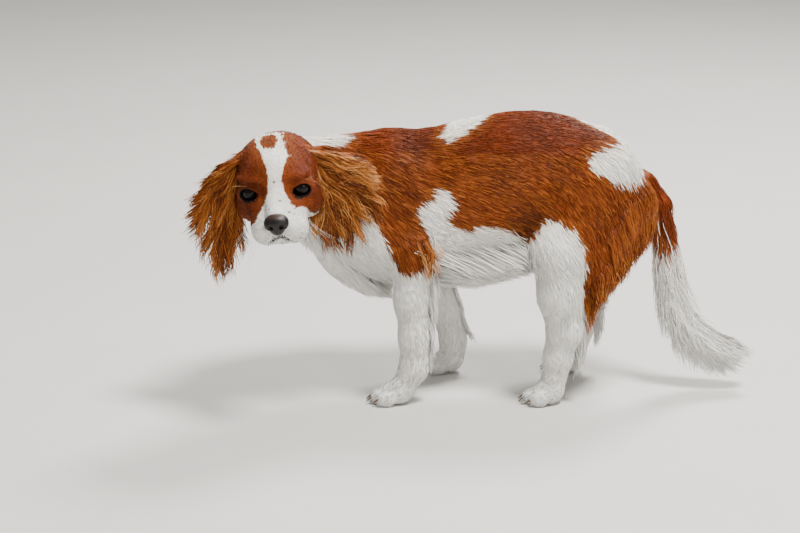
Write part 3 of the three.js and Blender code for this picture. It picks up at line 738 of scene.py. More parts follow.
def ripple(points, wavelength, seed):
    """A smooth random value from -1 to 1 that changes over about this wavelength."""
    draw = np.random.default_rng(seed)
    waves = unit(draw.normal(size=(9, 3))) * draw.uniform(0.7, 1.5, (9, 1)) * 2 * math.pi / wavelength
    phase = draw.uniform(0, 2 * math.pi, 9)
    return np.sin(points @ waves.T + phase).sum(1) / 3.2


def inside_outline(u, v, outline):
    """Signed distance to a closed outline on a plane, above zero inside."""
    outline = np.array(outline, float)
    nearest = np.full(len(u), 1e9)
    within = np.zeros(len(u), bool)
    for (au, av), (bu, bv) in zip(outline, np.roll(outline, -1, axis=0)):
        du, dv = bu - au, bv - av
        t = np.clip(((u - au) * du + (v - av) * dv) / (du * du + dv * dv), 0, 1)
        nearest = np.minimum(nearest, np.hypot(u - au - t * du, v - av - t * dv))
        if dv:
            crosses = ((av > v) != (bv > v)) & (u < du * (v - av) / dv + au)
            within ^= crosses
    return np.where(within, nearest, -nearest)


# The chestnut of each flank, as x and z
CHESTNUT_LEFT = [
    (-130, 240), (-112, 218), (-103, 201), (-95, 185), (-86, 166), (-84, 156), (-71, 152), (-58, 156),
    (-52, 169), (-47, 181), (-52, 196), (-61, 210), (-61, 226), (-46, 238), (-38, 249), (-30, 243),
    (-24, 236), (-25, 224), (-30, 211), (-20, 204), (-6, 201), (11, 206), (27, 205), (46, 196),
    (58, 183), (67, 190), (75, 208), (92, 211), (107, 203), (118, 186), (121, 162), (117, 138),
    (121, 112), (136, 104), (150, 112), (240, 170), (240, 350), (-170, 350), (-175, 262),
]
CHESTNUT_RIGHT = [
    (-130, 244), (-116, 214), (-100, 190), (-76, 166), (-50, 166), (-30, 190), (-12, 214), (14, 226),
    (34, 214), (60, 196), (84, 206), (104, 190), (118, 160), (124, 130), (146, 118), (240, 170),
    (240, 350), (-170, 350), (-175, 262),
]
BACK_PATCH = [(-36, -28), (-29, -37), (-14, -31), (4, -21), (19, 4), (10, 20), (-12, 24), (-30, 12)]
RUMP_PATCH = [
    (121, 280), (133, 287), (148, 290), (160, 292), (170, 288), (180, 272), (189, 256), (182, 250),
    (171, 245), (155, 252), (139, 262), (126, 270),
]
RUMP_STRIPE = [(112, 2), (135, -8), (152, -16), (166, -30), (178, -24), (184, 20), (160, 44), (122, 30)]

# The white blaze and muzzle, as side and height along the face: up less forward, in the head's frame
BLAZE = [
    (-22, 100), (-16.5, 72), (-10.5, 50), (-5.8, 30), (-4.2, 10), (-7.2, -8), (-12.6, -24), (-18.6, -36),
    (-23, -52), (-24, -72), (-20, -130), (60, -130), (60, -34), (36, -27), (29, -27), (21.5, -30),
    (15.8, -23), (11.6, -9), (8.6, 9), (12.5, 28), (17.6, 46), (14, 65), (10, 84), (9, 100),
]
CROWN_SPOT = [(-12.5, 92), (-4, 95), (5, 90), (6.5, 76), (3, 64), (-2.4, 59), (-9, 64), (-13, 76)]
# Dots beside the blaze: side, height along the face, radius
FRECKLES = [
    (6.4, -22.6, 1.3), (-4.7, -36, 0.9), (14.8, -39, 0.9), (19.6, -41.5, 0.8), (1.2, 7.5, 1.0),
    (20.5, -31, 0.9),
]
NAPE_CENTRE, NAPE_RADII = vec(-160, -26, 301), vec(27, 38, 15)
THROAT_TOP = -34  # the throat is white below this height of the head's frame
FACE_END, CROWN_END = -22, -60  # how far back the face and the white of the crown reach
FAR_CHEEK = -30  # beyond this to the far side the throat stays chestnut
TAIL_START, TAIL_CHESTNUT_END = 196, 166


def whiteness_of_head(q):
    side, forward, up = q.T
    height = up - forward
    white = inside_outline(side, height, BLAZE)
    white = np.minimum(white, -inside_outline(side, height, CROWN_SPOT))
    throat = THROAT_TOP - up - 0.2 * np.minimum(forward + 20, 0)
    face = np.maximum(white, np.minimum(throat, side - FAR_CHEEK))
    crown = np.maximum(np.minimum(white, forward - CROWN_END), throat)
    return np.where(forward < FACE_END, crown, face)


def whiteness_of_body(p):
    x, y, z = p.T
    left = -inside_outline(x, z, CHESTNUT_LEFT)
    right = -inside_outline(x, z, CHESTNUT_RIGHT)
    white = np.where(y < 0, left, right)
    for here, patch in (
        (z > 285, inside_outline(x, y, BACK_PATCH)),
        (y < 10, inside_outline(x, z, RUMP_PATCH)),
        (z > 270, inside_outline(x, y, RUMP_STRIPE)),
    ):
        white = np.maximum(white, np.where(here, patch, ALL_CHESTNUT))
    return np.maximum(white, -ball(p, NAPE_CENTRE, NAPE_RADII))


def whiteness(p):
    """The markings of the whole dog."""
    q = to_head(p)
    on_head = np.linalg.norm((q - vec(0, -25, 0)) / vec(60, 62, 62), axis=1) < 1
    white = whiteness_of_body(p)
    white[on_head] = whiteness_of_head(q[on_head])
    on_tail = (tail(p) < 3) & (p[:, 0] > TAIL_START)
    white = np.where(on_tail, TAIL_CHESTNUT_END - p[:, 2], white)
    return np.where(on_an_ear(p, 2.5), ALL_CHESTNUT, white)


# The chestnut runs from a tone in painted shade through its own tone to one in painted sunlight; the coat's
# own uneven tone moves along the same scale
CHESTNUT_SHADE, CHESTNUT, CHESTNUT_SUN = linear("#4c1c05"), linear("#742e06"), linear("#a64c0c")
CREAM, WHITE, WHITE_SHADE = linear("#eadcc4"), linear("#f6f4f0"), linear("#dedcd8")
# Gold is the hair's own colour near the edges of the markings, and painted sunlight on the tips of long
# locks; pale gold is painted sunlight only
GOLD, PALE_GOLD = linear("#c9782c"), linear("#e6b97c")
LIP, FRECKLE = linear("#0f0a08"), linear("#4a3a32")
LONG_TUFT = 16.0  # the length at which the edge of a marking is fully ragged


def sunniness(p):
    """How bright the chestnut is painted, 0 to 1, as painted sunlight: brightest on the neck, in deepest
    painted shade on the flank.
    """
    near_head = ramp(distance(p, HEAD_AT), 95, 60)
    on_neck = 0.18 * ramp(p[:, 0], -70, -150) * (near_head == 0)
    on_thigh = 0.1 * ramp(p[:, 0], 70, 125)
    return 0.26 + 0.06 * near_head + on_neck + on_thigh


def coat_tint(p, jitter, length=LONG_TUFT, marked=None):
    """The colour of the coat at each point. Jitter from -1 to 1 varies it from tuft to tuft."""
    fringe = np.minimum(length / LONG_TUFT, 1)
    ragged = 1.7 * ripple(p, 9, 3) + 1.3 * ripple(p, 4, 4) + 1.5 * jitter
    white = (whiteness(p) if marked is None else marked) + ragged * fringe
    # Painted sunlight and shade from sunniness, with the coat's own uneven tone from the ripples and the
    # jitter
    depth = sunniness(p) + 0.1 * ripple(p, 60, 5) + 0.07 * ripple(p, 14, 6) + 0.13 * jitter
    depth = np.clip(depth, 0, 1)[:, None]
    dull, bright = mix(CHESTNUT_SHADE, CHESTNUT, depth * 2), mix(CHESTNUT, CHESTNUT_SUN, depth * 2 - 1)
    red = np.where(depth < 0.5, dull, bright)
    edge = ramp(white, -16, -2) * np.clip(0.35 + 0.5 * jitter, 0, 1) * fringe
    red = mix(red, GOLD, 0.6 * edge[:, None])
    pale = mix(WHITE_SHADE, WHITE, np.clip(0.7 + 0.4 * jitter, 0, 1)[:, None])
    warm = ramp(white, 12, 0)[:, None] * 0.3
    tint = mix(red, mix(pale, CREAM, warm), ramp(white, -0.6, 0.6)[:, None])
    return mix(tint, FRECKLE, freckles(to_head(p), jitter)[:, None])


def freckles(q, jitter):
    """Dark dots on the bridge of the nose, and specks where the whiskers grow along the lips."""
    height = q[:, 2] - q[:, 1]
    share = np.zeros(len(q))
    for side, at_height, radius in FRECKLES:
        away = np.hypot(q[:, 0] - side, height - at_height)
        share = np.maximum(share, 0.85 * (1 - ramp(away, radius, radius + 0.8)))
    specks = (lip_distance(straighten(q)) < 9) & (q[:, 1] > 8) & (ripple(q, 3.2, 21) + 0.5 * jitter > 0.75)
    return np.maximum(share, specks * 0.55)


# Eyes, lid edges and nose


PUPIL_EDGE, IRIS_EDGE = (3.4, 4.2), (6.2, 7.4)
PUPIL, IRIS, IRIS_FIBRE = linear("#020101"), linear("#100703"), linear("#1e0f07")
IRIS_RIM, EYE_WHITE = linear("#060403"), linear("#c9b8ae")


def eyeball(sign, side):
    """A glass eye with a slight bulge over its iris."""
    rings, sides = 40, 48
    polar = np.linspace(0, math.pi, rings + 1)[:, None]
    turn = np.linspace(0, 2 * math.pi, sides, endpoint=False)[None, :]
    bulge = 0.5 * (1 - ramp(polar, 0.1, 0.9))
    reach = EYE_RADIUS - 0.4 + bulge
    local = np.stack(np.broadcast_arrays(
        reach * np.sin(polar) * np.cos(turn), reach * np.sin(polar) * np.sin(turn), reach * np.cos(polar)
    ), axis=-1).reshape(-1, 3)
    grid = np.arange((rings + 1) * sides).reshape(rings + 1, sides)
    turned = np.roll(grid, -1, axis=1)
    faces = np.stack([grid[:-1], grid[1:], turned[1:], turned[:-1]], axis=-1).reshape(-1, 4)
    if sign < 0:
        faces = faces[:, ::-1]
    made = make_mesh("eyeball_" + side, from_eye(local, sign), faces, eye_material)
    radius, facing, around = [
        np.broadcast_to(values, grid.shape).reshape(-1, 1)
        for values in (EYE_RADIUS * np.sin(polar), np.cos(polar) > 0, turn)
    ]
    iris = mix(IRIS, IRIS_FIBRE, 0.5 + 0.5 * np.sin(around * 17))
    tint = mix(PUPIL, iris, ramp(radius, *PUPIL_EDGE))
    tint = mix(tint, IRIS_RIM, ramp(radius, *IRIS_EDGE))
    paint(made, np.where(facing, tint, EYE_WHITE))
    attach(made, "root")
    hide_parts("eye_" + side)


def tube(name, line, radii, material, closed=False):
    """An eight-sided tube round a line of points in millimetres, with a radius at each."""
    sides = 8
    line, radii = np.asarray(line, float), np.asarray(radii, float)
    if closed:
        tangent = unit(np.roll(line, -1, axis=0) - np.roll(line, 1, axis=0))
    else:
        tangent = unit(np.gradient(line, axis=0))
    side = unit(np.cross(tangent, vec(0.31, 0.21, 0.93)))
    other = np.cross(tangent, side)
    angle = np.linspace(0, 2 * math.pi, sides, endpoint=False)
    ring = side[:, None] * np.cos(angle)[:, None] + other[:, None] * np.sin(angle)[:, None]
    points = (line[:, None] + ring * radii[:, None, None]).reshape(-1, 3)
    grid = np.arange(len(points)).reshape(-1, sides)
    rows = np.concatenate([grid, grid[:1]]) if closed else grid
    turned = np.roll(rows, -1, axis=1)
    faces = np.stack([rows[:-1], turned[:-1], turned[1:], rows[1:]], axis=-1).reshape(-1, 4)
    return make_mesh(name, points, faces, material)


LID_EDGE_REACH, LID_EDGE_RADIUS = 12.3, 0.65


def lid_edge(sign, side):
    """The dark wet edge of the lids, a thin roll that follows their opening over the eye."""
    angle = np.linspace(0, 2 * math.pi, 64, endpoint=False)
    a, b = LID_WIDTH * np.cos(angle), LID_HEIGHT * np.sin(angle)
    inner = np.clip(-a / LID_WIDTH, 0, 1)
    a = a - LID_CORNER * inner ** 3
    b = b - LID_DROP * inner ** 2
    c = np.sqrt(np.maximum(LID_EDGE_REACH ** 2 - a * a - b * b, 20))
    line = from_eye(np.stack([a, b, c], axis=1), sign)
    made = tube("lid_edge_" + side, line, np.full(len(line), LID_EDGE_RADIUS), lid_material, closed=True)
    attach(made, "root")


def nose_field(q):
    """The nose leather with a groove down its middle and a comma-shaped nostril on each side."""
    s, f, u = NOSE_CENTRE
    q = straighten(q)
    out = fold(q, 0)
    top = ball(q, vec(s, f, u + 3), vec(12.8, 9, 8))
    d = blend_min(top, ball(q, vec(s, f + 1.5, u - 3), vec(8.4, 7.5, 9)), 4)
    d = blend_min(d, ball(out, vec(8.2, f + 2.2, u + 0.5), vec(4.6, 5.6, 5.2)), 2.5)
    hole = blend_min(
        ball(out, vec(5.4, f + 9.2, u - 0.6), vec(2.4, 4.6, 2.5)),
        taper(out, (7.4, f + 7.4, u - 2.2), (11.6, f + 3.0, u - 2.0), 1.1, 0.5), 1.5,
    )
    d = blend_max(d, -hole, 1.2)
    groove = taper(q, (s, f + 10.2, u + 2), (s, f + 8.6, u - 12), 0.5, 0.7)
    return blend_max(d, 0.35 - groove, 1.2)


NOSE_STEP = 0.55
# The top of the nose is painted lighter and browner: a painted highlight where the light from above falls
NOSE_BLACK, NOSE_TOP_HIGHLIGHT = linear("#0e0a0a"), linear("#3a2824")


def make_nose():
    axes = [np.arange(low, high, NOSE_STEP) for low, high in ((-17, 17.1), (24, 58), (-36, -4))]
    points, faces = net(nose_field, axes)
    # Where the painted highlight lies: over the back of the top of the nose
    upper = ramp(points[:, 2], NOSE_CENTRE[2] + 5.5, NOSE_CENTRE[2] + 11) * ramp(points[:, 1], 52, 44)
    made = make_mesh("nose_leather", from_head(points), faces[:, ::-1], nose_material)
    paint(made, mix(NOSE_BLACK, NOSE_TOP_HIGHLIGHT, upper[:, None] * 0.8))
    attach(made, "root")
    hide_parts("nose")


for sign, side in ((1, "left"), (-1, "right")):
    eyeball(sign, side)
    lid_edge(sign, side)
make_nose()

# The lie of the short coat: place, the way the hair points, its length and how far its tips lift.
# Both sides of the dog share each row, so y is the distance from the middle line. On the head the place
# and the way are in its own frame.

BODY_LIE = np.array([
    (-150, 0, 300, 0.9, 0.1, -0.15, 18, 1.2), (-150, 45, 262, 0.55, 0.0, -0.8, 20, 1.6),
    (-95, 45, 275, 0.85, 0.05, -0.35, 16, 0.9), (-100, 70, 215, 0.5, 0.0, -0.85, 16, 0.9),
    (-165, 10, 205, 0.4, 0.05, -1.0, 22, 1.6), (-130, 10, 140, 0.8, 0.0, -0.6, 22, 1.8),
    (-60, 0, 305, 1.0, 0.1, 0.0, 15, 0.8), (0, 0, 316, 1.0, 0.1, 0.0, 15, 0.8),
    (60, 0, 322, 1.0, 0.1, -0.05, 15, 0.8), (130, 0, 306, 1.0, 0.1, -0.4, 16, 0.9),
    (-50, 68, 245, 0.9, 0.0, -0.35, 16, 0.8), (10, 72, 245, 1.0, 0.0, -0.18, 16, 0.8),
    (60, 68, 240, 0.9, 0.0, -0.35, 16, 0.8), (0, 62, 180, 0.92, -0.05, -0.35, 18, 1.0),
    (0, 10, 140, 1.0, 0.0, -0.2, 20, 1.6), (70, 52, 180, 0.75, 0.0, -0.65, 18, 1.2),
    (125, 60, 268, 0.75, 0.0, -0.6, 16, 0.9), (105, 78, 210, 0.4, 0.0, -0.9, 17, 1.0),
    (168, 45, 245, 0.5, 0.0, -0.85, 19, 1.2), (190, 15, 222, 0.35, 0.0, -1.0, 20, 1.4),
    (150, 60, 165, 0.3, 0.0, -1.0, 22, 1.6), (-75, 70, 140, 0.2, 0.0, -1.0, 14, 0.8),
    (-66, 58, 90, 0.15, 0.0, -1.0, 12, 0.6), (-30, 58, 90, 0.2, 0.0, -1.0, 12, 0.6),
    (-60, 58, 45, 0.05, 0.0, -1.0, 10, 0.6), (-20, 58, 45, 0.05, 0.0, -1.0, 10, 0.6),
    (-88, 58, 12, -0.8, 0.0, -0.5, 7, 0.6), (-30, 58, 12, -0.8, 0.0, -0.5, 7, 0.6),
    (96, 70, 130, 0.15, 0.0, -1.0, 15, 0.8), (118, 60, 90, 0.0, 0.0, -1.0, 13, 0.7),
    (110, 58, 50, -0.05, 0.0, -1.0, 10, 0.6), (80, 58, 12, -0.8, 0.0, -0.5, 7, 0.6),
    (112, 58, 12, -0.8, 0.0, -0.5, 7, 0.6), (206, 8, 225, 0.35, 0.1, -1.0, 18, 1.0),
    (220, 8, 170, 0.1, 0.1, -1.0, 20, 1.5), (224, 8, 120, 0.25, 0.1, -1.0, 22, 2.0),
    (246, 8, 72, 0.8, 0.1, -0.6, 24, 2.0), (286, 8, 46, 1.0, 0.1, -0.2, 24, 2.0),
])
HEAD_LIE = np.array([
    (0, 32, -4, 0.0, -0.8, 0.5, 4.0, 0.3), (0, 8, 5, 0.05, -0.3, 1.0, 5.0, 0.4),
    (0, -10, 32, 0.1, -0.6, 0.8, 7.0, 0.5), (0, -40, 45, 0.1, -1.0, 0.1, 10.0, 0.8),
    (0, -75, 35, 0.1, -1.0, -0.3, 15.0, 1.2), (24, -2, 18, 0.5, -0.4, 0.8, 6.0, 0.6),
    (12, 8, 6, 0.35, -0.5, 0.8, 4.5, 0.4), (40, -20, 18, 0.6, -0.8, 0.1, 9.0, 0.8),
    (27, 9, -13, 0.6, -0.6, -0.45, 5.0, 0.4), (14, 14, -8, 0.5, -0.6, 0.1, 4.0, 0.3),
    (38, -12, -14, 0.2, -0.8, -0.6, 6.0, 0.5), (36, -25, -38, 0.3, -0.6, -0.9, 14.0, 1.6),
    (20, 25, -24, 0.6, -0.7, -0.35, 4.5, 0.4), (20, 26, -42, 0.5, -0.5, -0.8, 6.0, 0.6),
    (0, 26, -48, 0.1, -0.6, -0.8, 7.0, 0.8), (0, -20, -52, 0.1, -0.8, -0.6, 16.0, 1.8),
    (6, 40, -30, 0.5, -0.6, -0.6, 3.5, 0.3),
])


def blend_lie(table, points, reach, mirror):
    """Reads a lie table between its places. Its sideways direction turns over with the side."""
    side = np.where(points[:, mirror] < 0, -1.0, 1.0)
    folded = points.copy()
    folded[:, mirror] *= side
    away = ((folded[:, None] - table[None, :, :3]) ** 2).sum(2)
    weight = np.exp(-away / (2 * reach * reach)) + 1e-9 / (1 + away)
    weight /= weight.sum(1, keepdims=True)
    read = weight @ table[:, 3:]
    read[:, mirror] *= side
    return read


EAR_COAT = 1.2  # the short coat of an ear grows within this reach of its leather


def lie(points):
    """Direction, length and lift of the short coat at each point."""
    q = to_head(points)
    on_body = blend_lie(BODY_LIE, points, 34, 1)
    on_head = blend_lie(HEAD_LIE, q, 11, 0)
    on_head[:, :3] = on_head[:, :3] @ HEAD_TURN.T
    away = distance(q, vec(0, -25, -5))
    read = mix(on_head, on_body, ramp(away, 62, 88)[:, None])
    for side in ("left", "right"):
        on_ear = ear(points, side) < EAR_COAT
        root = vec(EAR_DROPS[side][0][0], 0, EAR_DROPS[side][0][1] - 6)
        hang = unit((points[on_ear] - root) * vec(1, 0, 1)) + vec(0, 0, -0.6)
        hang[:, 2] = np.minimum(hang[:, 2], -0.25)
        read[on_ear, :3] = unit(hang)
        read[on_ear, 3:] = vec(17, 1.0)
    return unit(read[:, :3]), read[:, 3], read[:, 4]


# The skin, finest over the face

FACE_X, FACE_Y, FACE_Z = (-264, -164), (-204, -100), (204, 308)
skin_axes = [
    axis_samples((-330, FACE_X[0], 4), (*FACE_X, 1.0), (FACE_X[1], 330, 4)),
    axis_samples((*FACE_Y, 1.0), (FACE_Y[1], 108, 4)),
    axis_samples((-6, FACE_Z[0], 4), (*FACE_Z, 1.0), (FACE_Z[1], 336, 4)),
]
skin_points, skin_faces = net(skin, skin_axes)
skin_slope = slope(skin, skin_points)
skin_points = skin_points - skin_slope * np.clip(skin(skin_points), -0.8, 0.8)[:, None] * 0.9


def skin_tint(p):
    """The markings on the skin, with dark lid edges and lips."""
    tint = coat_tint(p, np.zeros(len(p)), lie(p)[1]) * 0.85
    q = to_head(p)
    dark = 1 - ramp(lip_distance(straighten(q)), 1.4, 2.8)
    for sign in (-1, 1):
        a, b, c = in_eye(q, sign).T
        dark = np.maximum(dark, np.where(c > 2, 1 - ramp(lid_shape(a, b), 0.3, 1.2), 0))
    return mix(tint, LIP, dark[:, None])


skin_piece = make_mesh("skin", skin_points, skin_faces, skin_material)
paint(skin_piece, skin_tint(skin_points))
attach(skin_piece, "root")
FLESH = [
    "torso", "neck", "head", "left_foreleg", "right_foreleg", "left_hindleg", "right_hindleg",
    "ear_left", "ear_right", "tail",
]
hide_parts(*FLESH)


# Coat pieces: many closed three-sided blades joined in one mesh, each tapering to a point


def blades(path, out, width, thick):
    """Points and triangles of a blade along each path. Out is the way its ridge faces."""
    count, rings = path.shape[:2]
    share = np.linspace(0, 1, rings)[:-1]
    # Fullest a little below the middle
    full = np.sqrt(1 - share) * (0.62 + 0.9 * share)
    tangent = unit(np.gradient(path, axis=1))
    side = unit(np.cross(tangent, out[:, None]))
    ridge = np.cross(side, tangent)
    wide = (side * width[:, None, None])[:, :-1] * full[:, None] / 2
    tall = (ridge * thick[:, None, None])[:, :-1] * full[:, None]
    core = path[:, :-1]
    corners = np.stack([core - wide - tall * 0.3, core + wide - tall * 0.3, core + tall * 0.7], axis=2)
    points = np.concatenate([corners.reshape(count, -1, 3), path[:, -1:]], axis=1)
    last = 3 * (rings - 1)
    faces = [(0, 2, 1)]
    for ring in range(rings - 2):
        for corner in range(3):
            a, b = 3 * ring + corner, 3 * ring + (corner + 1) % 3
            faces += [(a, b, b + 3), (a, b + 3, a + 3)]
    faces += [(last - 3 + corner, last - 3 + (corner + 1) % 3, last) for corner in range(3)]
    faces = np.array(faces)
    every = faces[None] + (np.arange(count) * (last + 1))[:, None, None]
    return points.reshape(-1, 3), every.reshape(-1, 3), np.append(np.repeat(share, 3), 1.0)


PATCH = 0.003  # how wide a tuft's patch is on the unwrap


def make_coat(name, path, out, width, thick, tint, tip_tint):
    """A coat piece. Tint is each tuft's colour at its root, tip_tint its colour at the tip."""
    points, faces, share = blades(path, out, width, thick)
    made = make_mesh(name, points, faces, coat_material)
    colours = mix(tint[:, None] * 0.85, tip_tint[:, None], share[None, :, None] ** 0.7)
    paint(made, np.clip(colours, 0, 1).reshape(-1, 3))
    corner = np.where(np.arange(len(share)) % 3 == 1, 1.0, 0.0)
    local = np.stack([corner, share], axis=1) * PATCH
    place = unwrap(path[:, 0], out)[:, None] + local[None]
    layer = made.data.uv_layers.new(name="OFBake")
    layer.data.foreach_set("uv", place.reshape(-1, 2)[faces.ravel()].astype(np.float32).ravel())
    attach(made, "root")


UNWRAP_SCALE = 1 / 2600  # millimetres to units of the unwrap
UNWRAP_START = vec(-330, -200, 0)
# Where the unwrap holds each side of the dog: front, rear, left, right, below and above
SIDE_PLACES = np.array([(0, 0.72), (0.18, 0.72), (0, 0), (0.27, 0), (0.54, 0), (0.54, 0.2)])
INNER_PLACE = 0.36  # how far above the outsides of the legs their insides lie


def unwrap(points, out):
    """Where each root lies on an unwrap of the skin: each of the six sides of the dog is laid flat."""
    axis = np.argmax(np.abs(out), axis=1)
    sign = np.take_along_axis(out, axis[:, None], 1)[:, 0] > 0
    x, y, z = (points - UNWRAP_START).T
    flat = np.stack([np.where(axis == 0, y, x), np.where(axis == 2, y, z)], axis=1) * UNWRAP_SCALE
    inner = ((points[:, 1] > 0) != sign) & (axis == 1)
    flat[:, 1] += inner * INNER_PLACE
    return flat + SIDE_PLACES[axis * 2 + sign]


def spin(vectors, about, angle):
    """Turns vectors by an angle about unit axes."""
    c, s = np.cos(angle)[:, None], np.sin(angle)[:, None]
    kept = about * (vectors * about).sum(1, keepdims=True)
    return vectors * c + np.cross(about, vectors) * s + kept * (1 - c)


def tuft_width(length):
    return 0.55 + 0.036 * length


def cover(points):
    """How many tufts lie over each other: fewest on the legs, where the fur is sleek."""
    return mix(1.7, 2.4, ramp(points[:, 2], 115, 165))


def scatter(points, faces):
    """Roots over the skin, as close as their tufts are small."""
    corners = points[np.concatenate([faces[:, [0, 1, 2]], faces[:, [0, 2, 3]]])]
    normal = np.cross(corners[:, 1] - corners[:, 0], corners[:, 2] - corners[:, 0])
    area = np.linalg.norm(normal, axis=1) / 2
    middle = corners.mean(1)
    length = lie(middle)[1]
    need = area * cover(middle) / (tuft_width(length) * length)
    need[bare(middle)] = 0
    total = int(need.sum())
    edges = np.cumsum(need) / need.sum()
    chosen = np.searchsorted(edges, chance.uniform(0, 1, total))
    a, b = chance.uniform(0, 1, (2, total))
    over = a + b > 1
    a, b = np.where(over, 1 - a, a), np.where(over, 1 - b, b)
    base = corners[chosen]
    return base[:, 0] + a[:, None] * (base[:, 1] - base[:, 0]) + b[:, None] * (base[:, 2] - base[:, 0])


def bare(p):
    """Where no short tuft grows: soles, nose, lips and eyes."""
    q = to_head(p)
    off = (p[:, 2] < 2.5) | (nose_field(q) < 0.9) | (lip_distance(straighten(q)) < LIP_GROOVE)
    for sign in (-1, 1):
        a, b, c = in_eye(q, sign).T
        off |= (lid_shape(a, b) < 0.3) & (c > 0)
    return off


FLOOR_GAP, LONG_FLOOR_GAP = 0.6, 0.8  # no tuft or strand comes nearer to the floor
TUFT_THICKNESS, STRAND_THICKNESS = 0.32, 0.4  # as a share of the width
MOST_TRIANGLES = 190000  # in one piece of the coat
# The pieces of the short coat, with the number of places on each tuft's path
REGION_RINGS = {
    "head": 3, "neck": 4, "flank_left": 4, "flank_right": 4, "forelegs": 3, "hindlegs": 3, "ears": 3,
    "tail": 4,
}


def short_coat():
    """Tufts all over the skin. They follow its lie, with a slight sway in wide and in narrow waves."""
    roots = scatter(skin_points, skin_faces)
    regions = coat_regions(roots)
    out = slope(skin, roots)
    direction, length, lift = lie(roots)
    jitter = chance.uniform(-1, 1, len(roots))
    direction = unit(direction - out * (direction * out).sum(1, keepdims=True))
    sway = 0.09 * ripple(roots, 40, 7) + 0.07 * ripple(roots, 13, 8) + 0.06 * chance.normal(size=len(roots))
    direction = spin(direction, out, sway)
    length = length * chance.uniform(0.8, 1.25, len(roots))
    lift = lift * (1 + 0.4 * ripple(roots, 11, 9))
    bend = spin(direction, out, 0.16 * chance.normal(size=len(roots)))
    reach = length[:, None]
    # How far the skin has fallen away below the tip of the tuft
    fall = np.clip(skin(roots + direction * reach), -0.4 * length, 0.4 * length)
    middle = roots + direction * reach * 0.5 - out * fall[:, None] * 0.25
    marked = np.where(regions == "ears", ALL_CHESTNUT, whiteness(middle))
    tint = coat_tint(middle, jitter, length, marked)
    width = tuft_width(length)
    for region, rings in REGION_RINGS.items():
        here = np.nonzero(regions == region)[0]
        here = here[np.argsort(roots[here, 0], kind="stable")]
        s = np.linspace(0, 1, rings)[None, :, None]
        rise = -0.5 + (lift[:, None, None] + 0.5) * np.sin(s * math.pi * 0.6)
        rise = rise - fall[:, None, None] * s ** 2
        path = roots[:, None] + (direction * reach)[:, None] * s
        path = path + ((bend - direction) * reach * 0.5)[:, None] * s ** 2 + out[:, None] * rise
        path[:, :, 2] = np.maximum(path[:, :, 2], FLOOR_GAP)
        parts = math.ceil(len(here) * (6 * rings - 8) / MOST_TRIANGLES)
        for number, rows in enumerate(np.array_split(here, parts), 1):
            name = f"coat_{region}_{number}" if parts > 1 else f"coat_{region}"
            thick = width[rows] * TUFT_THICKNESS
            make_coat(name, path[rows], out[rows], width[rows], thick, tint[rows], tint[rows] * 1.1)


def coat_regions(p):
    """The piece of the short coat that each root belongs to."""
    x, y, z = p.T
    on_leg = (z < 135) & (np.abs(y) > 22)
    region = np.where(y < 0, "flank_left", "flank_right")
    for here, name in (
        (x < -105, "neck"), (on_leg & (x < 20), "forelegs"), (on_leg & (x > 60), "hindlegs"),
        (distance(to_head(p), vec(0, -22, -5)) < 66, "head"), (tail(p) < 1, "tail"),
        (on_an_ear(p, EAR_COAT), "ears"),
    ):
        region = np.where(here, name, region)
    return region


# Long hair: locks of several strands that part at the root and meet towards the tip


STRAND_ROOT = -2.5  # a strand starts this far under the surface
LONG_CURL = 20  # the length at which a strand has its full wave


def strand_ends(rows, count, locks, spread, gather, loose, stagger):
    """Roots and tips, and the number of each strand's lock."""
    centre = np.stack([chance.uniform(0, 1, locks), chance.uniform(0, len(rows) - 1, locks)], axis=1)
    lock = chance.integers(0, locks, count)
    own = centre[lock] + chance.normal(size=(count, 2)) * vec(*spread)
    own = np.clip(own, 0, vec(1, len(rows) - 1))
    own[:, 0] = np.where((own[:, 0] <= 0) | (own[:, 0] >= 1), chance.uniform(0, 1, count), own[:, 0])
    roots = between(rows, own, 0)
    tips = between(rows, mix(own, centre[lock], gather), 1) + chance.normal(size=(count, 3)) * loose
    return mix(roots, tips, chance.uniform(-stagger, stagger, count)[:, None]), tips, lock


def wavy_path(roots, tips, out, lock, locks, rings, bulge, wave, curl):
    """A bent line from each root to its tip. The strands of one lock swing together."""
    length = np.linalg.norm(tips - roots, axis=1)
    middle = mix(roots, tips, 0.5) + out * bulge
    s = np.linspace(0, 1, rings)[None, :, None]
    path = roots[:, None] * (1 - s) ** 2 + middle[:, None] * 2 * s * (1 - s) + tips[:, None] * s ** 2
    side = unit(np.cross(tips - roots, out))
    phase = chance.uniform(0, 2 * math.pi, locks)[lock] + chance.normal(size=len(lock)) * 0.4
    turns = chance.uniform(0.7, 1.2, locks)[lock] * length / curl
    swing = np.sin(phase[:, None, None] + s * (turns * 2 * math.pi)[:, None, None]) * s
    path = path + side[:, None] * swing * wave * (length / LONG_CURL)[:, None, None]
    return path + out[:, None] * np.cos(phase[:, None, None] + s * 4) * s * wave * 0.6


def strand_tints(places, lock, locks, marked, contrast, gold):
    """The colours at root and tip. Whole locks are darker or lighter, partly their own tone and partly
    painted light and shade, and some tips get painted sunlight in gold.
    """
    lock_shade = chance.uniform(-1, 1, locks)[lock]
    jitter = 0.6 * lock_shade + 0.4 * chance.uniform(-1, 1, len(lock))
    base = coat_tint(places, jitter, marked=marked)
    base = base * (1 - contrast * (0.5 - 0.5 * jitter))[:, None]
    sunny = gold * np.clip(0.45 + 0.55 * lock_shade + 0.4 * chance.normal(size=len(lock)), 0, 1.5)
    ends = mix(base * 1.12, GOLD, np.minimum(sunny * 1.3, 1)[:, None])
    return base, mix(ends, PALE_GOLD, np.clip(sunny - 0.45, 0, 1)[:, None])


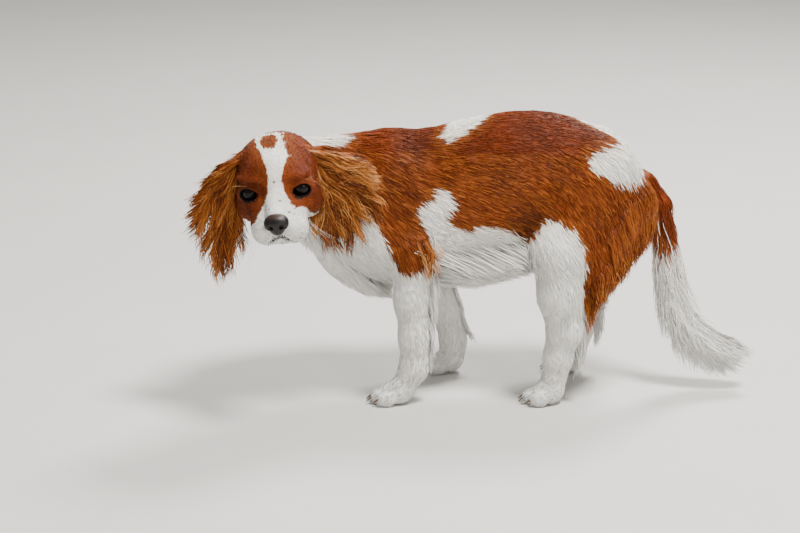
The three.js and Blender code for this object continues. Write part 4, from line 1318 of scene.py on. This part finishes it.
def hair(name, rows, count, locks, width, field=None, wave=1.2, bulge=4, gold=0.0, rings=6, ridge=None,
         spread=(0.06, 0.35), gather=0.6, loose=2.0, contrast=0.25, colour_at=0.0, off_skin=2.4, curl=40,
         stagger=0.3, marked=None):
    """Strands from roots to tips, read between rows that each pair a line of roots with a line of tips.

    The strands of a lock spread from its middle by a share of the rows, and gather again towards the tip.
    Wave is how far they swing, over a length of curl. Bulge lifts their middle, gold lightens their tips
    with painted sunlight, and contrast paints whole locks darker or lighter, partly as painted light and
    shade.
    """
    roots, tips, lock = strand_ends(rows, count, locks, spread, gather, loose, stagger)
    if field is not None:
        roots = settle(field, roots, STRAND_ROOT)
        out = slope(field, roots)
    else:
        out = np.tile(np.array(ridge, float), (count, 1))
    tips = mix(roots, tips, chance.uniform(0.8, 1.06, count)[:, None])
    path = wavy_path(roots, tips, out, lock, locks, rings, bulge, wave, curl)
    path = clear_of_skin(path, off_skin)
    base, ends = strand_tints(mix(roots, tips, colour_at), lock, locks, marked, contrast, gold)
    wide = width * chance.uniform(0.75, 1.25, count)
    make_coat(name, path, out, wide, wide * STRAND_THICKNESS, base, ends)


def clear_of_skin(path, off_skin):
    """Lifts the outer part of each strand out of the body and the floor."""
    count, rings = path.shape[:2]
    flat = path.reshape(-1, 3).copy()
    want = np.tile(np.linspace(-2.0, off_skin, rings), count)
    for _ in range(2):
        deep = np.nonzero(form(flat) < want)[0]
        if len(deep):
            part = flat[deep]
            flat[deep] = part + slope(form, part) * (want[deep] - form(part))[:, None]
    flat[:, 2] = np.maximum(flat[:, 2], LONG_FLOOR_GAP)
    return flat.reshape(path.shape)


def between(rows, own, part):
    """Points at (share along a row, share between rows)."""
    low = np.minimum(own[:, 1].astype(int), len(rows) - 2)
    share = (own[:, 1] - low)[:, None]
    lines = np.stack([along(row[part], own[:, 0]) for row in rows])
    every = np.arange(len(own))
    return mix(lines[low, every], lines[low + 1, every], share)


# Rows of the ear hair on its sheet, as x and z: from the root of the ear out to its edge
EAR_ROWS = {
    "left": [
        ([(-192, 301), (-187, 300), (-183, 295), (-183, 287), (-184, 278)],
         [(-156, 297), (-142, 282), (-144, 258), (-160, 240), (-178, 236)]),
        ([(-180, 300), (-171, 297), (-167, 290), (-172, 280), (-180, 270)],
         [(-140, 295), (-120, 272), (-118, 240), (-140, 216), (-176, 212)]),
        ([(-170, 298), (-148, 286), (-142, 264), (-152, 248), (-174, 254)],
         [(-124, 288), (-106, 258), (-104, 222), (-130, 196), (-172, 192)]),
        ([(-162, 297), (-136, 282), (-128, 258), (-140, 234), (-168, 238)],
         [(-130, 297), (-103, 268), (-97, 218), (-126, 182), (-170, 176)]),
    ],
    "right": [
        ([(-240, 297), (-245, 295), (-250, 290), (-250, 283), (-250, 276)],
         [(-262, 292), (-272, 276), (-274, 250), (-262, 236), (-254, 238)]),
        ([(-250, 292), (-256, 288), (-260, 280), (-257, 272), (-252, 266)],
         [(-274, 280), (-286, 254), (-288, 224), (-270, 206), (-250, 214)]),
        ([(-256, 290), (-272, 272), (-280, 250), (-270, 240), (-256, 248)],
         [(-288, 266), (-304, 236), (-305, 202), (-280, 172), (-248, 198)]),
        ([(-264, 286), (-284, 260), (-284, 238), (-272, 222), (-256, 238)],
         [(-292, 270), (-311, 238), (-309, 190), (-276, 147), (-247, 190)]),
    ],
}


def off_sheet(line, side, rise):
    """A line of the ear at this distance from its sheet."""
    return [(x, ear_sheet(x, side) + rise, z) for x, z in line]


def ear_hair(side):
    """Wavy locks over both faces of an ear. The near ear is sunlit: its tips get more painted sunlight in
    gold, and its locks more painted light and shade, than the far one's.
    """
    sunlit = side == "left"
    for face, depth, count in (("front", -1, 2500), ("back", 1, 600)):
        rows = [
            (off_sheet(roots, side, depth * 4), off_sheet(tips, side, depth * (6.5 - 1.5 * n)))
            for n, (roots, tips) in enumerate(EAR_ROWS[side])
        ]
        hair(f"ear_hair_{side}_{face}", rows, count, 60, 1.0, ridge=(0, depth, 0), wave=1.5, bulge=5,
             gold=0.7 if sunlit else 0.55, rings=9, spread=(0.03, 0.3), gather=0.75,
             contrast=0.7 if sunlit else 0.45, curl=52, stagger=0.08, marked=ALL_CHESTNUT)


# Rows of the other long hair, as x, y and z. The plume of the tail hangs from four rows round it
TAIL_OUTER = (
    [(202, 0, 232), (218, 0, 195), (224, 0, 150), (228, -2, 112), (240, -4, 90), (262, -5, 66),
     (284, -6, 50)],
    [(228, 0, 190), (234, 0, 150), (239, -2, 112), (253, -3, 87), (276, -5, 70), (304, -6, 58),
     (325, -8, 45)],
)
TAIL_INNER = (
    [(208, 0, 192), (212, -1, 146), (218, -2, 106), (232, -4, 78), (256, -5, 58), (282, -6, 43)],
    [(205, 0, 138), (207, -2, 92), (216, -3, 54), (240, -4, 26), (270, -5, 12), (308, -8, 16)],
)
TAIL_SIDE = (
    [(208, -8, 218), (217, -10, 172), (221, -12, 126), (234, -14, 90), (258, -14, 66), (280, -10, 50)],
    [(218, -14, 160), (224, -16, 112), (238, -18, 76), (266, -20, 48), (294, -18, 36), (320, -12, 32)],
)


def other_side(rows):
    return [tuple([(x, -y, z) for x, y, z in line] for line in row) for row in rows]


def tail_hair():
    far_side = other_side([TAIL_SIDE])[0]
    rows = [TAIL_OUTER, TAIL_SIDE, TAIL_INNER, far_side, TAIL_OUTER]
    hair("tail_hair", rows, 4100, 240, 1.35, field=tail, wave=0.9, bulge=4, rings=7, gather=0.45, loose=1.4,
         colour_at=0.5, stagger=0.15, contrast=0.12)


CHEST_ROWS = [
    ([(-158, -34, 196), (-170, -4, 190), (-156, 30, 196)],
     [(-152, -40, 150), (-163, -4, 146), (-150, 34, 150)]),
    ([(-152, -40, 178), (-164, -4, 172), (-150, 36, 178)],
     [(-136, -40, 130), (-147, -4, 126), (-136, 36, 130)]),
    ([(-136, -38, 158), (-144, -2, 150), (-134, 34, 158)],
     [(-110, -34, 116), (-118, -2, 110), (-110, 30, 116)]),
    ([(-118, -28, 144), (-124, 0, 136), (-118, 26, 144)],
     [(-84, -26, 112), (-90, 0, 108), (-84, 24, 112)]),
]
THROAT_ROWS = [
    ([(-200, -74, 222), (-186, -42, 214), (-172, -4, 212)],
     [(-190, -76, 186), (-176, -44, 178), (-164, -8, 174)]),
    ([(-186, -60, 212), (-176, -34, 206), (-168, 2, 200)],
     [(-174, -60, 168), (-164, -34, 162), (-158, 0, 156)]),
]
BELLY_ROWS = [
    ([(-44, -62, 168), (8, -62, 172), (58, -60, 180)], [(2, -56, 142), (50, -54, 150), (92, -50, 160)]),
    ([(-44, -46, 146), (8, -46, 154), (56, -44, 164)], [(4, -44, 130), (52, -42, 141), (92, -38, 153)]),
    ([(-44, -24, 135), (6, -22, 144), (56, -22, 157)], [(2, -22, 122), (50, -20, 135), (90, -20, 150)]),
    ([(-44, -4, 131), (6, -4, 141), (56, -4, 155)], [(0, -6, 119), (48, -4, 132), (88, -4, 148)]),
]
RUMP_ROWS = [
    ([(190, -20, 246), (200, -26, 226), (194, -34, 206)],
     [(204, -22, 208), (203, -28, 190), (192, -36, 172)]),
    ([(180, -40, 234), (180, -46, 214), (168, -52, 194)],
     [(192, -42, 196), (187, -48, 172), (172, -54, 150)]),
    ([(166, -50, 216), (158, -56, 200), (146, -62, 184)],
     [(180, -50, 178), (168, -56, 160), (154, -60, 146)]),
]
FORE_FEATHER = [
    ([(-47, -50, 150), (-49, -52, 116), (-49, -53, 80), (-51, -54, 50)],
     [(-39, -52, 126), (-43, -54, 92), (-45, -56, 60), (-49, -56, 36)]),
    ([(-49, -64, 150), (-51, -66, 116), (-51, -64, 80), (-53, -63, 50)],
     [(-41, -66, 126), (-45, -66, 92), (-47, -64, 60), (-50, -62, 36)]),
]
FAR_FORE_FEATHER = [
    ([(-30, 50, 150), (-22, 52, 112), (-11, 53, 76), (-5, 54, 50)],
     [(-25, 54, 116), (-17, 56, 78), (-6, 56, 52), (12, 56, 28)]),
    ([(-32, 62, 150), (-24, 63, 112), (-13, 63, 76), (-7, 62, 50)],
     [(-27, 66, 116), (-19, 66, 78), (-8, 64, 52), (10, 62, 28)]),
]
HIND_FEATHER = [
    ([(166, -46, 176), (150, -48, 156), (134, -52, 132), (122, -53, 104)],
     [(174, -50, 150), (156, -54, 132), (138, -56, 106), (127, -56, 74)]),
    ([(160, -58, 176), (146, -64, 156), (130, -66, 132), (120, -64, 104)],
     [(168, -60, 150), (152, -66, 132), (135, -66, 106), (125, -63, 74)]),
]
FAR_HIND_FEATHER = [
    ([(176, 46, 172), (166, 48, 152), (158, 52, 130), (154, 53, 104)],
     [(182, 50, 144), (170, 52, 122), (162, 56, 96), (157, 56, 68)]),
    ([(172, 58, 172), (160, 63, 152), (152, 65, 130), (150, 63, 104)],
     [(178, 60, 144), (166, 64, 122), (159, 65, 96), (154, 62, 68)]),
]
HOCK_FEATHER = [
    ([(118, -53, 86), (110, -54, 58)], [(122, -55, 56), (114, -56, 26)]),
    ([(118, -63, 86), (110, -62, 58)], [(122, -64, 56), (114, -62, 26)]),
]
FAR_HOCK_FEATHER = [
    ([(152, 53, 84), (142, 54, 58)], [(156, 55, 54), (146, 56, 26)]),
    ([(152, 63, 84), (142, 62, 58)], [(156, 64, 54), (146, 62, 26)]),
]
ELBOW_TUFT = [
    ([(-66, -72, 186), (-54, -72, 190), (-44, -70, 196)],
     [(-56, -78, 156), (-44, -78, 162), (-32, -76, 176)]),
    ([(-62, -68, 176), (-52, -68, 180), (-44, -68, 186)],
     [(-52, -74, 146), (-42, -74, 152), (-32, -72, 166)]),
]


# The white hair under the dog lies close, in locks that hardly part
SMOOTH = {
    "wave": 0.3, "gather": 0.1, "spread": (0.25, 0.5), "loose": 1.2, "contrast": 0.05, "stagger": 0.5,
    "marked": ALL_WHITE,
}


def long_coat():
    # Gold on the tips of these locks is painted sunlight, more of it on the near side of the dog
    ear_hair("left")
    ear_hair("right")
    tail_hair()
    hair("chest_hair", CHEST_ROWS, 2400, 260, 1.6, field=form, bulge=3, **SMOOTH)
    hair("throat_hair", THROAT_ROWS, 1000, 130, 1.5, field=form, bulge=3, **SMOOTH)
    for side, rows in (("left", BELLY_ROWS), ("right", other_side(BELLY_ROWS))):
        hair("belly_hair_" + side, rows, 1700, 260, 1.6, field=form, bulge=0, off_skin=1.2, **SMOOTH)
    for side, rows in (("left", RUMP_ROWS), ("right", other_side(RUMP_ROWS))):
        hair("trousers_" + side, rows, 1400, 90, 1.3, field=form, bulge=2, gold=0.3, wave=1.6, curl=34,
             colour_at=0.3, off_skin=1.8)
    hair("feather_fore_left", FORE_FEATHER, 600, 60, 1.2, field=form, bulge=3)
    hair("feather_fore_right", FAR_FORE_FEATHER, 700, 60, 1.2, field=form, bulge=3)
    hair("feather_hind_left", HIND_FEATHER, 900, 60, 1.2, field=form, bulge=3, gold=0.6, wave=1.6, curl=34)
    hair("feather_hind_right", FAR_HIND_FEATHER, 700, 60, 1.3, field=form, bulge=4)
    hair("feather_hock_left", HOCK_FEATHER, 260, 26, 1.1, field=form, bulge=2)
    hair("feather_hock_right", FAR_HOCK_FEATHER, 260, 26, 1.1, field=form, bulge=2)
    hair("elbow_tuft_left", ELBOW_TUFT, 240, 9, 1.2, field=form, bulge=2, gold=0.9, wave=1.8, curl=26)
    hair("elbow_tuft_right", other_side(ELBOW_TUFT), 200, 9, 1.2, field=form, bulge=2, gold=0.5)


short_coat()
long_coat()

# Whiskers and claws

WHISKER_COLOUR, BROW_COLOUR = linear("#efe9df"), linear("#a87645")
WHISKER_WIDTH = 0.28


def whiskers():
    """Stiff hairs: three rows on each side of the muzzle, and a few over each eye."""
    hairs = []
    for sign in (-1, 1):
        for row in range(3):
            for place in range(4):
                root = vec(19 + 2.2 * place, 31 - 6 * place - row, -27 - 6 * row)
                aim = vec(0.8, 0.15 - 0.2 * place, -0.75 - 0.2 * row) + chance.normal(size=3) * 0.14
                hairs.append((sign, root, aim, 24 + 6 * place + 4 * row, WHISKER_COLOUR))
        for n in range(3):
            root = vec(24 + 4 * n, -2 - 3 * n, 14 - 0.8 * n)
            aim = vec(0.8, 0.4, 0.25 - 0.2 * n) + chance.normal(size=3) * 0.08
            hairs.append((sign, root, aim, 24 + 2 * n, BROW_COLOUR))
    roots = np.array([root * vec(sign, 1, 1) for sign, root, *_ in hairs])
    tips = np.array([(root + unit(aim) * reach) * vec(sign, 1, 1) for sign, root, aim, reach, _ in hairs])
    tint = np.array([colour for *_, colour in hairs])
    roots, tips = settle(head_form, bend_muzzle(roots), -1.2), bend_muzzle(tips)
    length = np.linalg.norm(tips - roots, axis=1)[:, None, None]
    s = np.linspace(0, 1, 8)[None, :, None]
    path = mix(roots[:, None], tips[:, None], s) - vec(0, 0, 1) * (length * 0.16) * s ** 2
    path = path + vec(0, 1, 0) * (length * 0.12) * np.sin(s * math.pi)
    out = np.tile(HEAD_TURN[:, 1], (len(roots), 1))
    width = np.full(len(roots), WHISKER_WIDTH)
    make_coat("whiskers", from_head(path), out, width, width, tint, tint)


def claws():
    """Horn claws: short hooks that show at the end of each toe."""
    t = np.linspace(0, 1, 7)
    hook = np.stack([-8.5 * t, 0 * t, 1.5 * t - 6.0 * t ** 2], axis=1)
    radii = 1.7 * np.sqrt(1 - t * 0.97)
    for pair, paws in (("foreleg", FORE_PAWS), ("hindleg", HIND_PAWS)):
        for side, sign in (("left", -1), ("right", 1)):
            for number, toe in enumerate(toe_centres(paws[side]), 1):
                line = (toe + vec(-7.5, 0, -0.5)) * vec(1, sign, 1) + hook
                made = tube(f"claw_{side}_{pair}_{number}", line, radii, claw_material)
                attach(made, "root")


whiskers()
claws()

# Floor, light and camera

STAND_POINT = in_frame(vec(-82, 0, 143))  # what the camera and the lights are aimed at
CAMERA_ELEVATION = math.radians(15)
CAMERA_DISTANCE = 2.385
LENS, SENSOR = 95.0, 36.0
FLOOR_REACH = 12.0
FLOOR_GREYS = linear("#c9c9c7"), linear("#d0d0ce")
WORLD_COLOUR, WORLD_STRENGTH = (1.0, 0.98, 0.94, 1), 0.36
# Place in metres, size, watts, colour
LIGHTS = {
    "key": ((0.8, -0.9, 2.9), 0.8, 190, (1.0, 0.96, 0.9)),
    "fill": ((1.3, -2.6, 1.1), 0.5, 20, (1.0, 0.98, 0.95)),
    "back": ((0.9, 1.7, 2.6), 1.0, 130, (1.0, 0.96, 0.9)),
}


def pale_floor():
    """A matt studio floor, almost white, that shows the soft shadows of the dog."""
    corners = [(u * FLOOR_REACH, v * FLOOR_REACH, 0) for u, v in ((-1, -1), (1, -1), (1, 1), (-1, 1))]
    mesh = bpy.data.meshes.new("floor")
    mesh.from_pydata(corners, [], [(0, 1, 2, 3)])
    grain = {"Scale": 6.0, "Detail": 4.0}
    mesh.materials.append(mottled("pale_plaster", *FLOOR_GREYS, grain, {"Roughness": 0.8}))
    floor = bpy.data.objects.new("floor", mesh)
    bpy.context.scene.collection.objects.link(floor)


def aimed(name, data, place, direction):
    """A lamp or camera in its place, turned to look in a direction."""
    held = bpy.data.objects.new(name, data)
    held.location = place
    held.rotation_euler = direction.to_track_quat("-Z", "Y").to_euler()
    bpy.context.scene.collection.objects.link(held)
    return held


def studio():
    """Soft light from above and from behind, and a weak light low in front for the eyes."""
    pale_floor()
    for name, (place, size, watts, colour) in LIGHTS.items():
        lamp = bpy.data.lights.new(name, "AREA")
        lamp.shape = "DISK"
        lamp.size = size
        lamp.energy = watts
        lamp.color = colour
        aimed(name, lamp, place, Vector(STAND_POINT) - Vector(place))
    world = bpy.data.worlds.new("studio")
    world.use_nodes = True
    background = world.node_tree.nodes["Background"]
    background.inputs["Color"].default_value = WORLD_COLOUR
    background.inputs["Strength"].default_value = WORLD_STRENGTH
    bpy.context.scene.world = world


def camera():
    lens = bpy.data.cameras.new("camera")
    lens.lens = LENS
    lens.sensor_width = SENSOR
    reach = vec(0, -math.cos(CAMERA_ELEVATION), math.sin(CAMERA_ELEVATION)) * CAMERA_DISTANCE
    bpy.context.scene.camera = aimed("camera", lens, STAND_POINT + reach, Vector(-reach))


studio()
camera()
